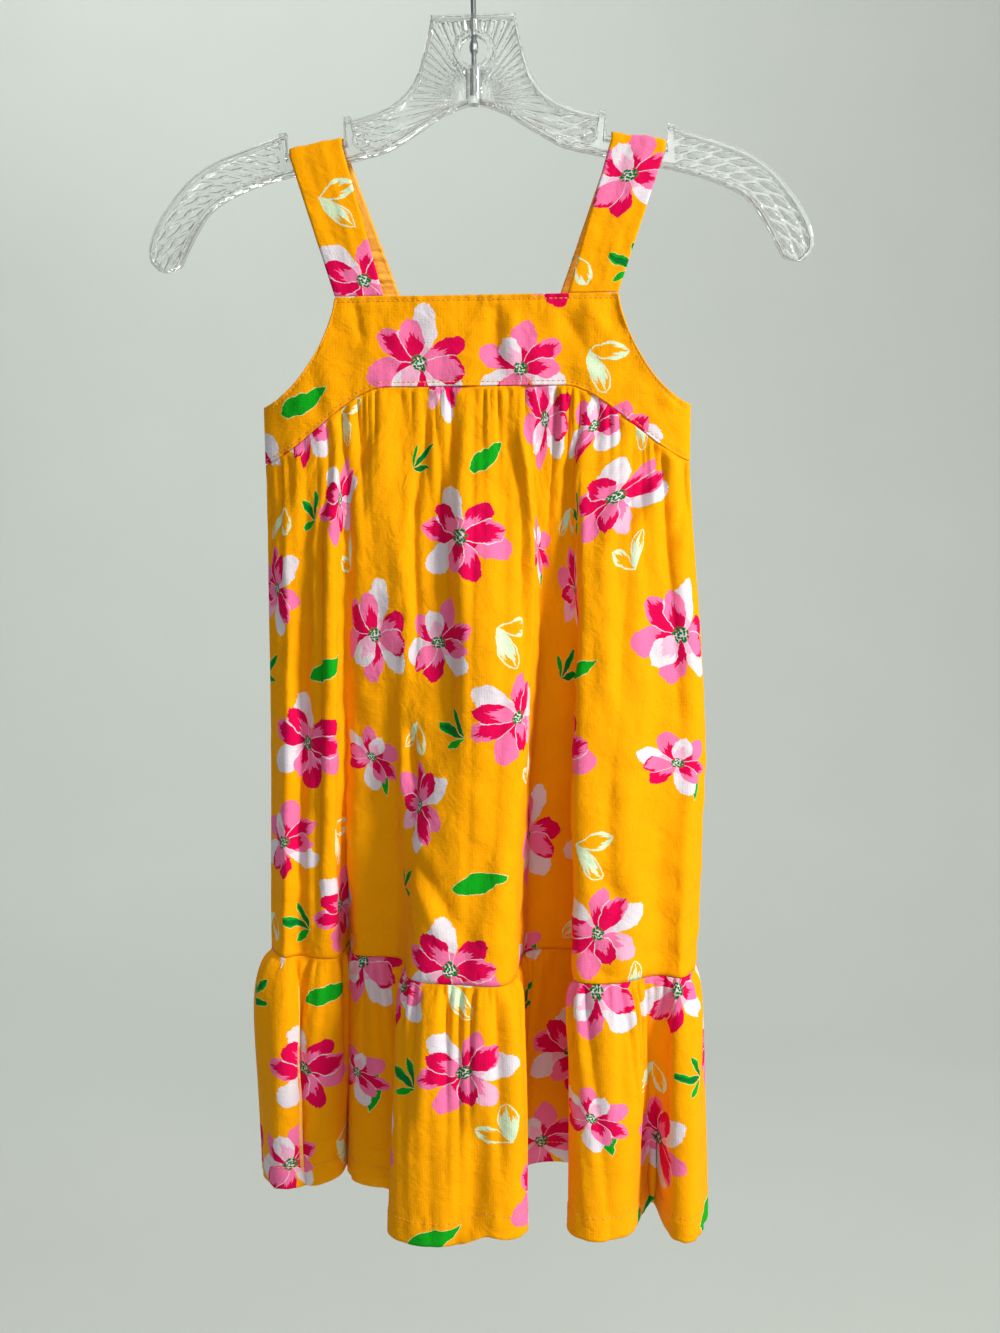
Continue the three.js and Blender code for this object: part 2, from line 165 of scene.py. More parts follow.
# the fan of ribs
FAN_FOOT_Z = -101.0
FAN_STEP = math.radians(7.2)
RIB_RISE = 1.1
RIB_HALF_SHARE = 0.36
RIBS_START = 5.4
RIBS_BLEND = 9
NECK_END = 46
NECK_BLEND = 14
# the diamond facets stand in slanting lanes along the arms
FACET_RISE = 1.5
FACET_PITCH = 15.0
FACET_HALF_LENGTH = 7.6
FACET_HALF_WIDE = 1.9
LANE_WIDE = 3.6
LANE_SLANT = 0.34
LANE_STAGGER = 6.1
# a small moulded ring beside each notch
RING_X = 60.5
RING_Z = -120.8
RING_RADIUS = 3.4
RING_HALF_WIDE = 0.9
RING_RISE = 0.8
# how finely the relief is made: distances along the edges, and points from edge to edge
NECK_SPACING = 0.8
NOTCH_SPACING = 1.2
ARM_SPACING = 0.85
POINTS_ACROSS = 49
MERGE_DISTANCE = 0.00002
SMOOTH_BELOW = math.radians(18)
# Matching places on the upper and the lower edge of the right half, from its middle to its tip.
NECK_EDGES = [
    ((0, -60), (0, -104.3)), ((11, -60), (3.2, -104.5)), ((22, -60), (7, -105.4)),
    ((23, -66), (9, -106.2)), ((26, -78), (12.5, -107.6)), ((31, -92), (18, -109.8)),
    ((41, -102.5), (28, -116.2)), ((54, -108.3), (46, -126.3)), ((65.9, -111.2), (62, -130.4)),
]
# Each notch for a strap has a small upright lug at both ends.
NOTCH_EDGES = [
    ((66, -108.8), (62.1, -130.4)), ((69.1, -109.4), (62.8, -130.6)), ((69.2, -121.9), (63, -130.7)),
    ((86, -125.1), (86, -135.5)), ((100.7, -127.8), (104.2, -139.4)), ((100.8, -116.2), (104.4, -139.5)),
    ((104, -116.8), (105.4, -139.7)), ((104.1, -118.7), (105.6, -139.8)),
]
ARM_EDGES = [
    ((104.3, -118.8), (105.8, -139.9)), ((122, -124.6), (119, -143.4)), ((140, -131), (133, -149.2)),
    ((154, -140), (144, -156.5)), ((165, -152), (151, -165.8)), ((172.5, -163), (155.5, -173.5)),
    ((176.6, -173), (158.6, -179.2)), ((177, -180.5), (161.5, -184.4)), ((173, -186), (165.2, -186.2)),
    ((170.6, -187), (167.4, -187)),
]


def catmull_rom(before, start, end, after, share):
    """A smooth curve from start to end, which heads as its two neighbours say."""
    square, cube = share ** 2, share ** 3
    return ((2 * cube - 3 * square + 1) * start + (cube - 2 * square + share) * (end - before) / 2
            + (3 * square - 2 * cube) * end + (cube - square) * (after - start) / 2)


def edge_columns(stations, spacing, curved):
    """Upper and lower edge points between stations, spaced evenly along the upper edge."""
    rows = np.array(stations, float).reshape(-1, 4)
    found = []
    for i in range(len(rows) - 1):
        steps = max(2, math.ceil(np.hypot(*(rows[i + 1] - rows[i])[:2]) / spacing))
        before, after = rows[max(i - 1, 0)], rows[min(i + 2, len(rows) - 1)]
        for share in np.arange(steps) / steps:
            if curved:
                found.append(catmull_rom(before, rows[i], rows[i + 1], after, share))
            else:
                found.append(rows[i] * (1 - share) + rows[i + 1] * share)
    return found + [rows[-1]]


def run_along(line):
    """Distance from the start of a line of points to each of its points."""
    return np.concatenate([[0], np.cumsum(np.linalg.norm(np.diff(line, axis=0), axis=1))])


def grid_faces(wide, high):
    """The four-sided faces of a grid of wide by high points."""
    numbers = np.arange(wide * high).reshape(wide, high)
    corners = [numbers[:-1, :-1], numbers[:-1, 1:], numbers[1:, 1:], numbers[1:, :-1]]
    return np.stack(corners, axis=-1).reshape(-1, 4)


def mesh_piece(name, places, faces):
    """A new mesh object, from points in millimetres, made the active one."""
    mesh = bpy.data.meshes.new(name)
    mesh.from_pydata((np.asarray(places) / 1000).tolist(), [], faces)
    piece = bpy.data.objects.new(name, mesh)
    bpy.context.collection.objects.link(piece)
    bpy.context.view_layer.objects.active = piece
    return piece


half_columns = edge_columns(NECK_EDGES[:3], NECK_SPACING, False)
half_columns += edge_columns(NECK_EDGES[2:], NECK_SPACING, True)[1:]
notch_start = len(half_columns)
half_columns += edge_columns(NOTCH_EDGES, NOTCH_SPACING, False)
notch_end = len(half_columns)
half_columns += edge_columns(ARM_EDGES, ARM_SPACING, True)
half_columns = np.array(half_columns)
columns = np.concatenate([half_columns[:0:-1] * [-1, 1, -1, 1], half_columns])
side_of_notch = np.zeros(len(half_columns))
side_of_notch[notch_start:notch_end] = 1
in_notch = np.concatenate([side_of_notch[:0:-1], side_of_notch])[:, None]
share = np.linspace(0, 1, POINTS_ACROSS)[None, :, None]
flat_points = columns[:, None, :2] * (1 - share) + columns[:, None, 2:] * share
x, z = flat_points[..., 0], flat_points[..., 1]
tall = np.linalg.norm(columns[:, :2] - columns[:, 2:], axis=1)[:, None]
from_edge = np.minimum(share[..., 0], 1 - share[..., 0]) * tall
run = run_along((columns[:, :2] + columns[:, 2:]) / 2)
run = np.abs(run - run[len(run) // 2])[:, None]

# thin web with a fan of ribs in the neck, thicker arms cut with slanting diamond facets
fan_turn = np.arctan2(np.abs(x), z - FAN_FOOT_Z + 1e-6) / FAN_STEP
fan_reach = np.hypot(x, z - FAN_FOOT_Z)
ribs = np.clip(1 - np.abs(fan_turn - np.round(fan_turn)) / RIB_HALF_SHARE, 0, 1)
ribs *= np.clip((fan_reach - RIBS_START) / RIBS_BLEND, 0, 1)
neck = np.clip((NECK_END - np.abs(x)) / NECK_BLEND, 0, 1)
across_arm = (share[..., 0] - 0.5) * tall
slant = (across_arm + LANE_SLANT * run) / LANE_WIDE
lane = np.round(slant)
along_lane = np.mod(run + LANE_STAGGER * lane, FACET_PITCH) - FACET_PITCH / 2
across_lane = np.abs(slant - lane) * LANE_WIDE
diamonds = np.clip(1 - np.abs(along_lane) / FACET_HALF_LENGTH - across_lane / FACET_HALF_WIDE, 0, 1)
thick = neck * (WEB_HALF + RIB_RISE * ribs)
thick = thick + (1 - neck) * (ARM_HALF + FACET_RISE * diamonds * (1 - in_notch))
rim = np.clip((RIM_WIDE - from_edge) / RIM_BLEND, 0, 1)
rim_thick = RIM_HALF - RIM_ROUND_DROP * np.clip(1 - from_edge / RIM_ROUND_WIDE, 0, 1)
thick = thick * (1 - rim) + rim_thick * rim
from_window = np.hypot(x, z - WINDOW_Z)
from_collar = np.abs(from_window - WINDOW_RADIUS - COLLAR_OFFSET)
thick = np.maximum(thick, COLLAR_HALF * np.clip((COLLAR_REACH - from_collar) / COLLAR_BLEND, 0, 1))
for radius, foot_z, top_z in (BOSS, SLEEVE):
    tube = np.sqrt(np.clip(radius ** 2 - x ** 2, 0, None))
    thick = np.where((z > foot_z) & (z < top_z), np.maximum(thick, tube), thick)
from_ring = np.abs(np.hypot(np.abs(x) - RING_X, z - RING_Z) - RING_RADIUS)
before_notch = np.abs(x) < NOTCH_EDGES[0][0][0]
thick += RING_RISE * np.clip(1 - from_ring / RING_HALF_WIDE, 0, 1) * before_notch

# the window is cut out: points just inside its rim are moved onto it, and what is left is dropped
onto_rim = (from_window < WINDOW_RADIUS) & (from_window > WINDOW_RADIUS - WINDOW_SNAP)
pull = np.where(onto_rim, WINDOW_RADIUS / np.maximum(from_window, 1e-6), 1)
x, z = x * pull, WINDOW_Z + (z - WINDOW_Z) * pull
kept_point = from_window * pull > WINDOW_RADIUS - 0.01
front_faces = grid_faces(*x.shape)
front_faces = front_faces[kept_point.ravel()[front_faces].all(axis=1)]
edges = dict.fromkeys(
    (a, b) for face in front_faces.tolist() for a, b in zip(face, face[1:] + face[:1]))
rim_faces = [(b, a, a + x.size, b + x.size) for a, b in edges if (b, a) not in edges]
back_faces = front_faces[:, ::-1] + x.size
front_side = np.stack([x, -thick, z], axis=-1).reshape(-1, 3)
back_side = np.stack([x, thick, z], axis=-1).reshape(-1, 3)
hanger = mesh_piece("hanger_clear_body", np.concatenate([front_side, back_side]),
                    front_faces.tolist() + back_faces.tolist() + rim_faces)
hanger.select_set(True)
bpy.ops.object.mode_set(mode="EDIT")
bpy.ops.mesh.select_all(action="SELECT")
bpy.ops.mesh.delete_loose()
bpy.ops.mesh.select_all(action="SELECT")
bpy.ops.mesh.remove_doubles(threshold=MERGE_DISTANCE)
bpy.ops.mesh.normals_make_consistent(inside=False)
bpy.ops.object.mode_set(mode="OBJECT")
bpy.ops.object.shade_smooth_by_angle(angle=SMOOTH_BELOW)
hanger.select_set(False)
hanger.data.materials.append(clear_polystyrene)
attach(hanger, "root")
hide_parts("hanger_body")


# ---- printed cotton -------------------------------------------------------------------------
# The whole dress is cut from one plain-woven cotton, golden yellow, screen-printed with loose
# many-petalled flowers in magenta, pink and white, and green and mint leaves. The print is a
# half-drop repeat: each width of the chart lies half a repeat lower than the one beside it.

REPEAT_WIDE = 150
REPEAT_DEEP = 230
MOTIF_REACH = 40  # no motif reaches further than this from its middle
BRUSH_SWAY = 9  # degrees: every copy of a motif is brushed in at a slightly different turn
# Each of the three kinds of flower paints its petals in its own order of colours.
FLOWER_CHART = [  # across, down, turn, size, squash, kind
    (-10, 100, 12, 0.98, 0.92, 0),
    (21, 195, -22, 0.94, 0.90, 2),
    (-26, 156, 150, 0.88, 0.92, 1),
    (-36, 14, 75, 0.86, 0.86, 2),
    (66, 106, 200, 0.78, 0.74, 1),
    (70, 38, 40, 0.98, 1.00, 1),
]
# Kind 0 is a broad green leaf, 1 a green sprig, 2 a pair of mint leaves.
LEAF_CHART = [  # across, down, turn, size, squash, kind
    (10, 148, 30, 0.85, 1.0, 2),
    (76, 128, 265, 0.95, 1.0, 0),
    (-6, 206, 215, 0.85, 1.0, 1),
    (20, 50, 160, 1.05, 1.0, 0),
    (-40, 200, 100, 0.70, 1.0, 2),
    (96, 178, 330, 0.80, 1.0, 1),
    (44, 2, 240, 0.75, 1.0, 2),
]


def motif_places(chart, low, high):
    """Each motif of the chart that can touch the rectangle from low to high, in millimetres."""
    found = []
    for across, down, turn, size, squash, kind in chart:
        first = math.floor((low[0] - MOTIF_REACH - across) / REPEAT_WIDE)
        last = math.ceil((high[0] + MOTIF_REACH - across) / REPEAT_WIDE)
        for width in range(first, last + 1):
            drop = down + (width % 2) * REPEAT_DEEP / 2
            top = math.floor((low[1] - MOTIF_REACH - drop) / REPEAT_DEEP)
            bottom = math.ceil((high[1] + MOTIF_REACH - drop) / REPEAT_DEEP)
            for step in range(top, bottom + 1):
                sway = BRUSH_SWAY * math.sin(5.1 * width + 3.3 * step + across)
                middle = (across + width * REPEAT_WIDE, drop + step * REPEAT_DEEP)
                found.append((*middle, math.radians(turn + sway), size, squash, kind))
    return np.array(found)


def motif_coordinates(lay, faces, chart):
    """For each corner of each face, its place in its nearest motif's own millimetres, and kind."""
    corners = lay[faces]
    middles = corners.mean(axis=1)
    motifs = motif_places(chart, middles.min(axis=0), middles.max(axis=0))
    gaps = np.linalg.norm(middles[:, None] - motifs[None, :, :2], axis=2) / motifs[None, :, 3]
    nearest = motifs[gaps.argmin(axis=1)]
    away = corners - nearest[:, None, :2]
    cosine, sine = np.cos(nearest[:, None, 2]), np.sin(nearest[:, None, 2])
    size, squash = nearest[:, None, 3], nearest[:, None, 4]
    x = (away[..., 0] * cosine + away[..., 1] * sine) / size
    y = (away[..., 1] * cosine - away[..., 0] * sine) / size / squash
    return np.stack([x, y, np.broadcast_to(nearest[:, None, 5], x.shape)], axis=-1)


# One brushed petal or leaf, laid over the colours that are printed under it. It starts as a point
# at the motif's middle, swells, and closes more bluntly at its tip.
SWELL_POWER = 1.15
TAPER_POWER = 0.72
WIDEST_GAIN = 3.45  # makes the widest place as wide as the petal's half width says
FLAME_SHARE = 0.62
STREAK_SCALE = (0.07, 0.75, 1.0)  # bristle streaks are 14 mm long and 1.3 mm apart
STREAK_DEPTH = 2.2
EDGE_SHARPNESS = 4.0
FLAME_SHARPNESS = 2.2
brush = bpy.data.node_groups.new("brushed_petal", "ShaderNodeTree")
for name, kind in (
    ("Place", "Vector"), ("Turn", "Float"), ("Length", "Float"), ("Half width", "Float"),
    ("Reach", "Float"), ("Rim", "Float"), ("Amount", "Float"), ("Ground", "Color"),
    ("Edge", "Color"), ("Body", "Color"), ("Flame", "Color"), ("Under", "Float"),
    ("Fray", "Float"),
):
    brush.interface.new_socket(name=name, in_out="INPUT", socket_type="NodeSocket" + kind)
brush.interface.new_socket(name="Colour", in_out="OUTPUT", socket_type="NodeSocketColor")
brush.interface.new_socket(name="Cover", in_out="OUTPUT", socket_type="NodeSocketFloat")
given = brush.nodes.new("NodeGroupInput").outputs
turned = add_node(brush, "VectorRotate", {"Vector": given["Place"], "Angle": given["Turn"]},
                  rotation_type="Z_AXIS", invert=True)[0]
split = add_node(brush, "SeparateXYZ", {0: turned})
along = add_node(brush, "Math", {0: split[0], 1: given["Length"]}, operation="DIVIDE", use_clamp=True)[0]
left = add_node(brush, "Math", {0: 1.0, 1: along}, operation="SUBTRACT")[0]
swell = add_node(brush, "Math", {0: along, 1: SWELL_POWER}, operation="POWER")[0]
taper = add_node(brush, "Math", {0: left, 1: TAPER_POWER}, operation="POWER")[0]
shape = add_node(brush, "Math", {0: swell, 1: taper}, operation="MULTIPLY")[0]
scaled = add_node(brush, "Math", {0: given["Half width"], 1: WIDEST_GAIN}, operation="MULTIPLY")[0]
half = add_node(brush, "Math", {0: shape, 1: scaled}, operation="MULTIPLY")[0]
off_axis = add_node(brush, "Math", {0: split[1]}, operation="ABSOLUTE")[0]
middle = add_node(brush, "Math", {0: given["Length"], 1: 0.5}, operation="MULTIPLY")[0]
from_middle = add_node(brush, "Math", {0: split[0], 1: middle}, operation="SUBTRACT")[0]
end_distance = add_node(brush, "Math", {0: from_middle}, operation="ABSOLUTE")[0]
past_end = add_node(brush, "Math", {0: end_distance, 1: middle}, operation="SUBTRACT")[0]
past_end = add_node(brush, "Math", {0: past_end, 1: 0.0}, operation="MAXIMUM")[0]
inside = add_node(brush, "Math", {0: half, 1: off_axis}, operation="SUBTRACT")[0]
inside = add_node(brush, "Math", {0: inside, 1: past_end}, operation="SUBTRACT")[0]
# bristle streaks run along the petal, and fray its tip and the flame at its heart
streak_place = add_node(brush, "VectorMath", {0: turned, 1: STREAK_SCALE}, operation="MULTIPLY")[0]
streaks = add_node(brush, "TexNoise", {"Vector": streak_place, "Scale": 1.0, "Detail": 2})[0]
streaks = add_node(brush, "MapRange", {"Value": streaks, "From Min": 0.3, "From Max": 0.7,
                                       "To Min": -STREAK_DEPTH, "To Max": STREAK_DEPTH})[0]
near_tip = add_node(brush, "Math", {0: along, 1: 3.0}, operation="POWER")[0]
fray = add_node(brush, "Math", {0: near_tip, 1: given["Fray"]}, operation="MULTIPLY")[0]
inside = add_node(brush, "Math", {0: streaks, 1: fray, 2: inside}, operation="MULTIPLY_ADD")[0]
body_mask = add_node(brush, "Math", {0: inside, 1: EDGE_SHARPNESS}, operation="MULTIPLY",
                     use_clamp=True)[0]
rimmed = add_node(brush, "Math", {0: inside, 1: given["Rim"]}, operation="ADD")[0]
rim_mask = add_node(brush, "Math", {0: rimmed, 1: EDGE_SHARPNESS}, operation="MULTIPLY",
                    use_clamp=True)[0]
spent = add_node(brush, "Math", {0: along, 1: given["Reach"]}, operation="DIVIDE")[0]
flame_left = add_node(brush, "Math", {0: 1.0, 1: spent}, operation="SUBTRACT")[0]
flame_half = add_node(brush, "Math", {0: flame_left, 1: scaled}, operation="MULTIPLY")[0]
flame_half = add_node(brush, "Math", {0: flame_half, 1: FLAME_SHARE}, operation="MULTIPLY")[0]
flame = add_node(brush, "Math", {0: flame_half, 1: off_axis}, operation="SUBTRACT")[0]
flame = add_node(brush, "Math", {0: flame, 1: streaks}, operation="ADD")[0]
flame = add_node(brush, "Math", {0: flame, 1: FLAME_SHARPNESS}, operation="MULTIPLY", use_clamp=True)[0]
flame_mask = add_node(brush, "Math", {0: flame, 1: body_mask}, operation="MULTIPLY")[0]
colour = given["Ground"]
rim_mask = add_node(brush, "Math", {0: rim_mask, 1: given["Under"]}, operation="MULTIPLY")[0]
for mask, paint in ((rim_mask, "Edge"), (body_mask, "Body"), (flame_mask, "Flame")):
    shown = add_node(brush, "Math", {0: mask, 1: given["Amount"]}, operation="MULTIPLY")[0]
    colour = add_node(brush, "Mix", {0: shown, 6: colour, 7: given[paint]}, data_type="RGBA")[2]
cover = add_node(brush, "Math", {0: given["Under"], 1: body_mask}, operation="MAXIMUM")[0]
result = brush.nodes.new("NodeGroupOutput").inputs
brush.links.new(colour, result["Colour"])
brush.links.new(cover, result["Cover"])

GOLDEN = "#FBA500"
MAGENTA = "#DC034E"
PINK = "#F474A6"
BLUSH = "#F0AFCB"
WHITE = "#E2D8E0"
CREAM = "#F6E6B0"
GREEN = "#10A31C"
DEEP_GREEN = "#05762C"
MINT = "#D6EBC6"
REVERSE = "#FFC860"
PETAL_RIM = 0.55
PETAL_FRAY = 0.55
LEAF_FRAY = 0.08
LEAF_REACH = 0.9
# The petals in the order they are printed. Each has a body and a flame colour for each of the
# three kinds of flower.
PETALS = [  # turn, length, half width, flame's reach, bodies, flames
    (6, 31, 8.6, 0.42, (PINK, WHITE, WHITE), (MAGENTA, BLUSH, BLUSH)),
    (131, 30, 8.4, 0.45, (WHITE, PINK, PINK), (BLUSH, MAGENTA, MAGENTA)),
    (244, 32, 8.0, 0.40, (WHITE, WHITE, WHITE), (PINK, BLUSH, BLUSH)),
    (304, 27, 6.8, 0.60, (MAGENTA, MAGENTA, PINK), (PINK, PINK, MAGENTA)),
    (64, 28, 7.2, 0.62, (MAGENTA, PINK, BLUSH), (PINK, MAGENTA, PINK)),
    (186, 28, 7.4, 0.95, (PINK, PINK, PINK), (MAGENTA, MAGENTA, MAGENTA)),
    (96, 22, 6.2, 0.72, (PINK, WHITE, MAGENTA), (MAGENTA, BLUSH, PINK)),
    (341, 26, 7.0, 1.00, (PINK, MAGENTA, PINK), (MAGENTA, PINK, MAGENTA)),
    (221, 25, 6.4, 0.66, (MAGENTA, PINK, MAGENTA), (PINK, MAGENTA, PINK)),
]
# The strokes of the leaves. Each belongs to one kind: broad leaf, sprig or mint pair.
STROKES = [  # turn, length, half width, rim, kinds that have it, edge, body, flame
    (0, 29, 5.2, 0.3, (1, 0, 0), CREAM, GREEN, GREEN),
    (30, 20, 2.8, 0.2, (0, 1, 0), CREAM, GREEN, DEEP_GREEN),
    (-12, 25, 3.2, 0.2, (0, 1, 0), CREAM, GREEN, DEEP_GREEN),
    (-62, 15, 2.6, 0.2, (0, 1, 0), CREAM, GREEN, GREEN),
    (-38, 24, 5.2, 0.9, (0, 0, 1), MINT, MINT, GOLDEN),
    (30, 27, 5.0, 1.0, (0, 0, 1), MINT, GOLDEN, MINT),
]
KIND_STOPS = (0.0, 0.4, 0.8)  # the kind, halved, lies at or just past its own stop
# Sizes in the cloth's texture, in millimetres, or how many there are in one.
WAVERS = ((10.0, 5.0), (2.2, 1.3))  # spacing and depth of the wavering of the screen's edges
EYE_RADIUS = (2.9, 3.2)
STAMENS_RADIUS = (4.4, 5.0)
STAMENS_PER_MM = 0.62
DYE_CLOUDS_PER_MM = 0.03
SLUBS_PER_MM = 0.9
CRUMPLES_PER_MM = 0.08
WEAVE_PITCH = 0.8  # real threads are 0.4 mm apart, and these are drawn coarser so that they show
WEAVE_BUMP = 0.0003
CRUMPLE_BUMP = 0.003


def paint_by_kind(tree, kind, paints):
    """The paint that a petal or a leaf's stroke gets from its motif's kind."""
    picked = add_node(tree, "ValToRGB", {0: kind})[0]
    ramp = picked.node.color_ramp
    ramp.interpolation = "CONSTANT"
    for i, paint in enumerate(paints):
        stop = ramp.elements[i] if i < 2 else ramp.elements.new(KIND_STOPS[i])
        stop.position = KIND_STOPS[i]
        stop.color = paint
    return picked


def leaves(tree, colour, place, kind):
    """The colour with the leaves printed over it. A pale line goes all round each."""
    for turn, length, half_width, rim, kinds, edge, body, flame in STROKES:
        colour = add_node(tree, "Group", {
            "Place": place, "Turn": math.radians(turn), "Length": length, "Half width": half_width,
            "Amount": paint_by_kind(tree, kind, [(k, k, k, 1) for k in kinds]), "Ground": colour,
            "Under": 1.0, "Fray": LEAF_FRAY, "Edge": linear(edge), "Reach": LEAF_REACH, "Rim": rim,
            "Body": linear(body), "Flame": linear(flame)}, node_tree=brush)["Colour"]
    return colour


def petals(tree, colour, place, kind):
    """The colour with the flowers printed over it. A pale line shows only between two petals."""
    under = 0.0
    for turn, length, half_width, reach, bodies, flames in PETALS:
        painted = add_node(tree, "Group", {
            "Place": place, "Turn": math.radians(turn), "Length": length, "Half width": half_width,
            "Amount": 1.0, "Ground": colour, "Under": under, "Fray": PETAL_FRAY,
            "Edge": linear(WHITE), "Reach": reach, "Rim": PETAL_RIM,
            "Body": paint_by_kind(tree, kind, [linear(paint) for paint in bodies]),
            "Flame": paint_by_kind(tree, kind, [linear(paint) for paint in flames])},
            node_tree=brush)
        colour, under = painted["Colour"], painted["Cover"]
    return colour


def printed_cotton(name, muted):
    """The cloth's right side, or its reverse, where the print shows through pale."""
    made, tree, surface = new_material(name)
    lay = add_node(tree, "Attribute", attribute_name="lay")["Vector"]
    # the screen's edges waver by about half a millimetre, and by 1.5 mm where the brush turned
    wavers = []
    for spacing, depth in WAVERS:
        bend = add_node(tree, "TexNoise", {"Vector": lay, "Scale": 1 / spacing, "Detail": 1})[1]
        centred = add_node(tree, "VectorMath", {0: bend, 1: (0.5, 0.5, 0.5)}, operation="SUBTRACT")[0]
        wavers.append(add_node(tree, "VectorMath", {0: centred, 3: depth}, operation="SCALE")[0])
    waver = add_node(tree, "VectorMath", {0: wavers[0], 1: wavers[1]}, operation="ADD")[0]
    colour = linear(GOLDEN)
    for motif, brushed in (("leaf", leaves), ("flower", petals)):
        own = add_node(tree, "Attribute", attribute_name=motif)["Vector"]
        number = add_node(tree, "SeparateXYZ", {0: own})[2]
        kind = add_node(tree, "Math", {0: number, 1: 2.0}, operation="DIVIDE")[0]
        place = add_node(tree, "VectorMath", {0: own, 1: waver}, operation="ADD")[0]
        place = add_node(tree, "VectorMath", {0: place, 1: (1, 1, 0)}, operation="MULTIPLY")[0]
        colour = brushed(tree, colour, place, kind)
    # the flower's eye: a pale blot under green stamen dots
    eye = add_node(tree, "VectorMath", {0: place}, operation="LENGTH")["Value"]
    blot, near = (
        add_node(tree, "MapRange", {"Value": eye, "From Min": outer, "From Max": inner})[0]
        for inner, outer in (EYE_RADIUS, STAMENS_RADIUS))
    colour = add_node(tree, "Mix", {0: blot, 6: colour, 7: linear(WHITE)}, data_type="RGBA")[2]
    dots = add_node(tree, "TexVoronoi", {"Vector": place, "Scale": STAMENS_PER_MM},
                    voronoi_dimensions="2D")[0]
    dots = add_node(tree, "MapRange", {"Value": dots, "From Min": 0.50, "From Max": 0.43})[0]
    dots = add_node(tree, "Math", {0: dots, 1: near}, operation="MULTIPLY")[0]
    colour = add_node(tree, "Mix", {0: dots, 6: colour, 7: linear(DEEP_GREEN)}, data_type="RGBA")[2]
    # uneven dye, a few centimetres across
    cloud = add_node(tree, "TexNoise", {"Vector": lay, "Scale": DYE_CLOUDS_PER_MM, "Detail": 3})[0]
    cloud = add_node(tree, "MapRange", {"Value": cloud, "To Min": 0.93, "To Max": 1.05})[0]
    colour = add_node(tree, "VectorMath", {0: colour, 3: cloud}, operation="SCALE")[0]
    if muted:
        colour = add_node(tree, "Mix", {0: 0.62, 6: colour, 7: linear(REVERSE)}, data_type="RGBA")[2]
    # plain weave: warp and weft, and slubs in both. A wave draws about pi bands at scale 1.
    threads = [
        add_node(tree, "TexWave", {
            "Vector": lay, "Scale": 1 / (math.pi * WEAVE_PITCH), "Distortion": 0.6, "Detail": 1.0},
            bands_direction=axis)[1]
        for axis in ("X", "Y")]
    weave = add_node(tree, "Math", {0: threads[0], 1: threads[1]}, operation="ADD")[0]
    slubs = add_node(tree, "TexNoise", {"Vector": lay, "Scale": SLUBS_PER_MM, "Detail": 4})[0]
    height = add_node(tree, "Math", {0: slubs, 1: 1.6, 2: weave}, operation="MULTIPLY_ADD")[0]
    # the crumple that washing leaves, a centimetre or two across
    crumple = add_node(tree, "TexNoise", {
        "Vector": lay, "Scale": CRUMPLES_PER_MM, "Detail": 5, "Roughness": 0.52, "Distortion": 0.3})[0]
    crumpled = add_node(tree, "Bump", {
        "Height": crumple, "Strength": 0.62, "Distance": CRUMPLE_BUMP})[0]
    bump = add_node(tree, "Bump", {
        "Height": height, "Strength": 0.2, "Distance": WEAVE_BUMP, "Normal": crumpled})[0]
    rough = add_node(tree, "MapRange", {"Value": slubs, "To Min": 0.72, "To Max": 0.92})[0]
    shader = add_node(tree, "BsdfPrincipled", {
        "Base Color": colour, "Roughness": rough, "Normal": bump, "Sheen Weight": 0.02,
        "Sheen Roughness": 0.45, "Specular IOR Level": 0.06})[0]
    tree.links.new(shader, surface)
    return made


# Plain-woven cotton: soft and matt, with hardly any sheen, its print flat in the threads.
cotton = printed_cotton("printed_cotton", False)
cotton_reverse = printed_cotton("printed_cotton_reverse", True)


# ---- front and back yoke --------------------------------------------------------------------
# The flat bodice: two layers of the cotton sewn together round the neck and armholes, turned and
# pressed. Its lower edge is an arch, and the skirt is gathered into it.

DRESS_X = 1.0  # the dress hangs this far to the right of the hook
CLOTH = 1.0
SEAM_GAP = 0.4
PARTED = 0.62  # where front and back lie flat together, each stays this far from the middle plane
CHEST_X = -2.0
CHEST_HALF = 115.5
CHEST_DEPTH = 12.0
NECK_Z = -203.0
NECK_HALF = 75.0
UNDERARM_Z = -260.0
ARMHOLE_POWER = 1.38
ARCH_Z = -250.0
ARCH_HALF = 48.0
ARCH_DROP = 40.5
NOISE_WAVES = 9
SEAM_TO_FOLD = 9  # the fold beside a side seam is at least this far from it along the cloth
YOKE_COLUMNS = 170
YOKE_ROWS = 58


def yoke_depth(across):
    """How far the flat yoke stands out from the middle plane."""
    share = np.clip(np.abs(across - CHEST_X) / CHEST_HALF, 0, 1)
    return CHEST_DEPTH * np.sqrt(1 - share ** 4)


def yoke_seam_z(across):
    """Height of the arched seam: level in the middle, then an easy S down to the side seam."""
    share = np.clip((np.abs(across - CHEST_X / 2) - ARCH_HALF) / (CHEST_HALF - ARCH_HALF), 0, 1)
    return ARCH_Z - ARCH_DROP * (0.4 * share ** 1.4 + 0.6 * share * share * (3 - 2 * share))


def soft_noise(u, v, spacing, seed):
    """Smooth uneven waves of about the given spacing, from -1 to 1, the same at every run."""
    draw = np.random.default_rng(seed)
    total = np.zeros(np.broadcast(u, v).shape)
    for _ in range(NOISE_WAVES):
        turn = draw.uniform(0, math.pi)
        phase = draw.uniform(0, 2 * math.pi)
        length = spacing * draw.uniform(0.7, 1.6)
        total = total + np.sin(2 * math.pi * (u * math.cos(turn) + v * math.sin(turn)) / length + phase)
    return total / NOISE_WAVES ** 0.5 / 1.6


def bell(distance, middle, half_width):
    """1 in the middle, falling softly to nothing on both sides."""
    return np.exp(-((distance - middle) / half_width) ** 2)


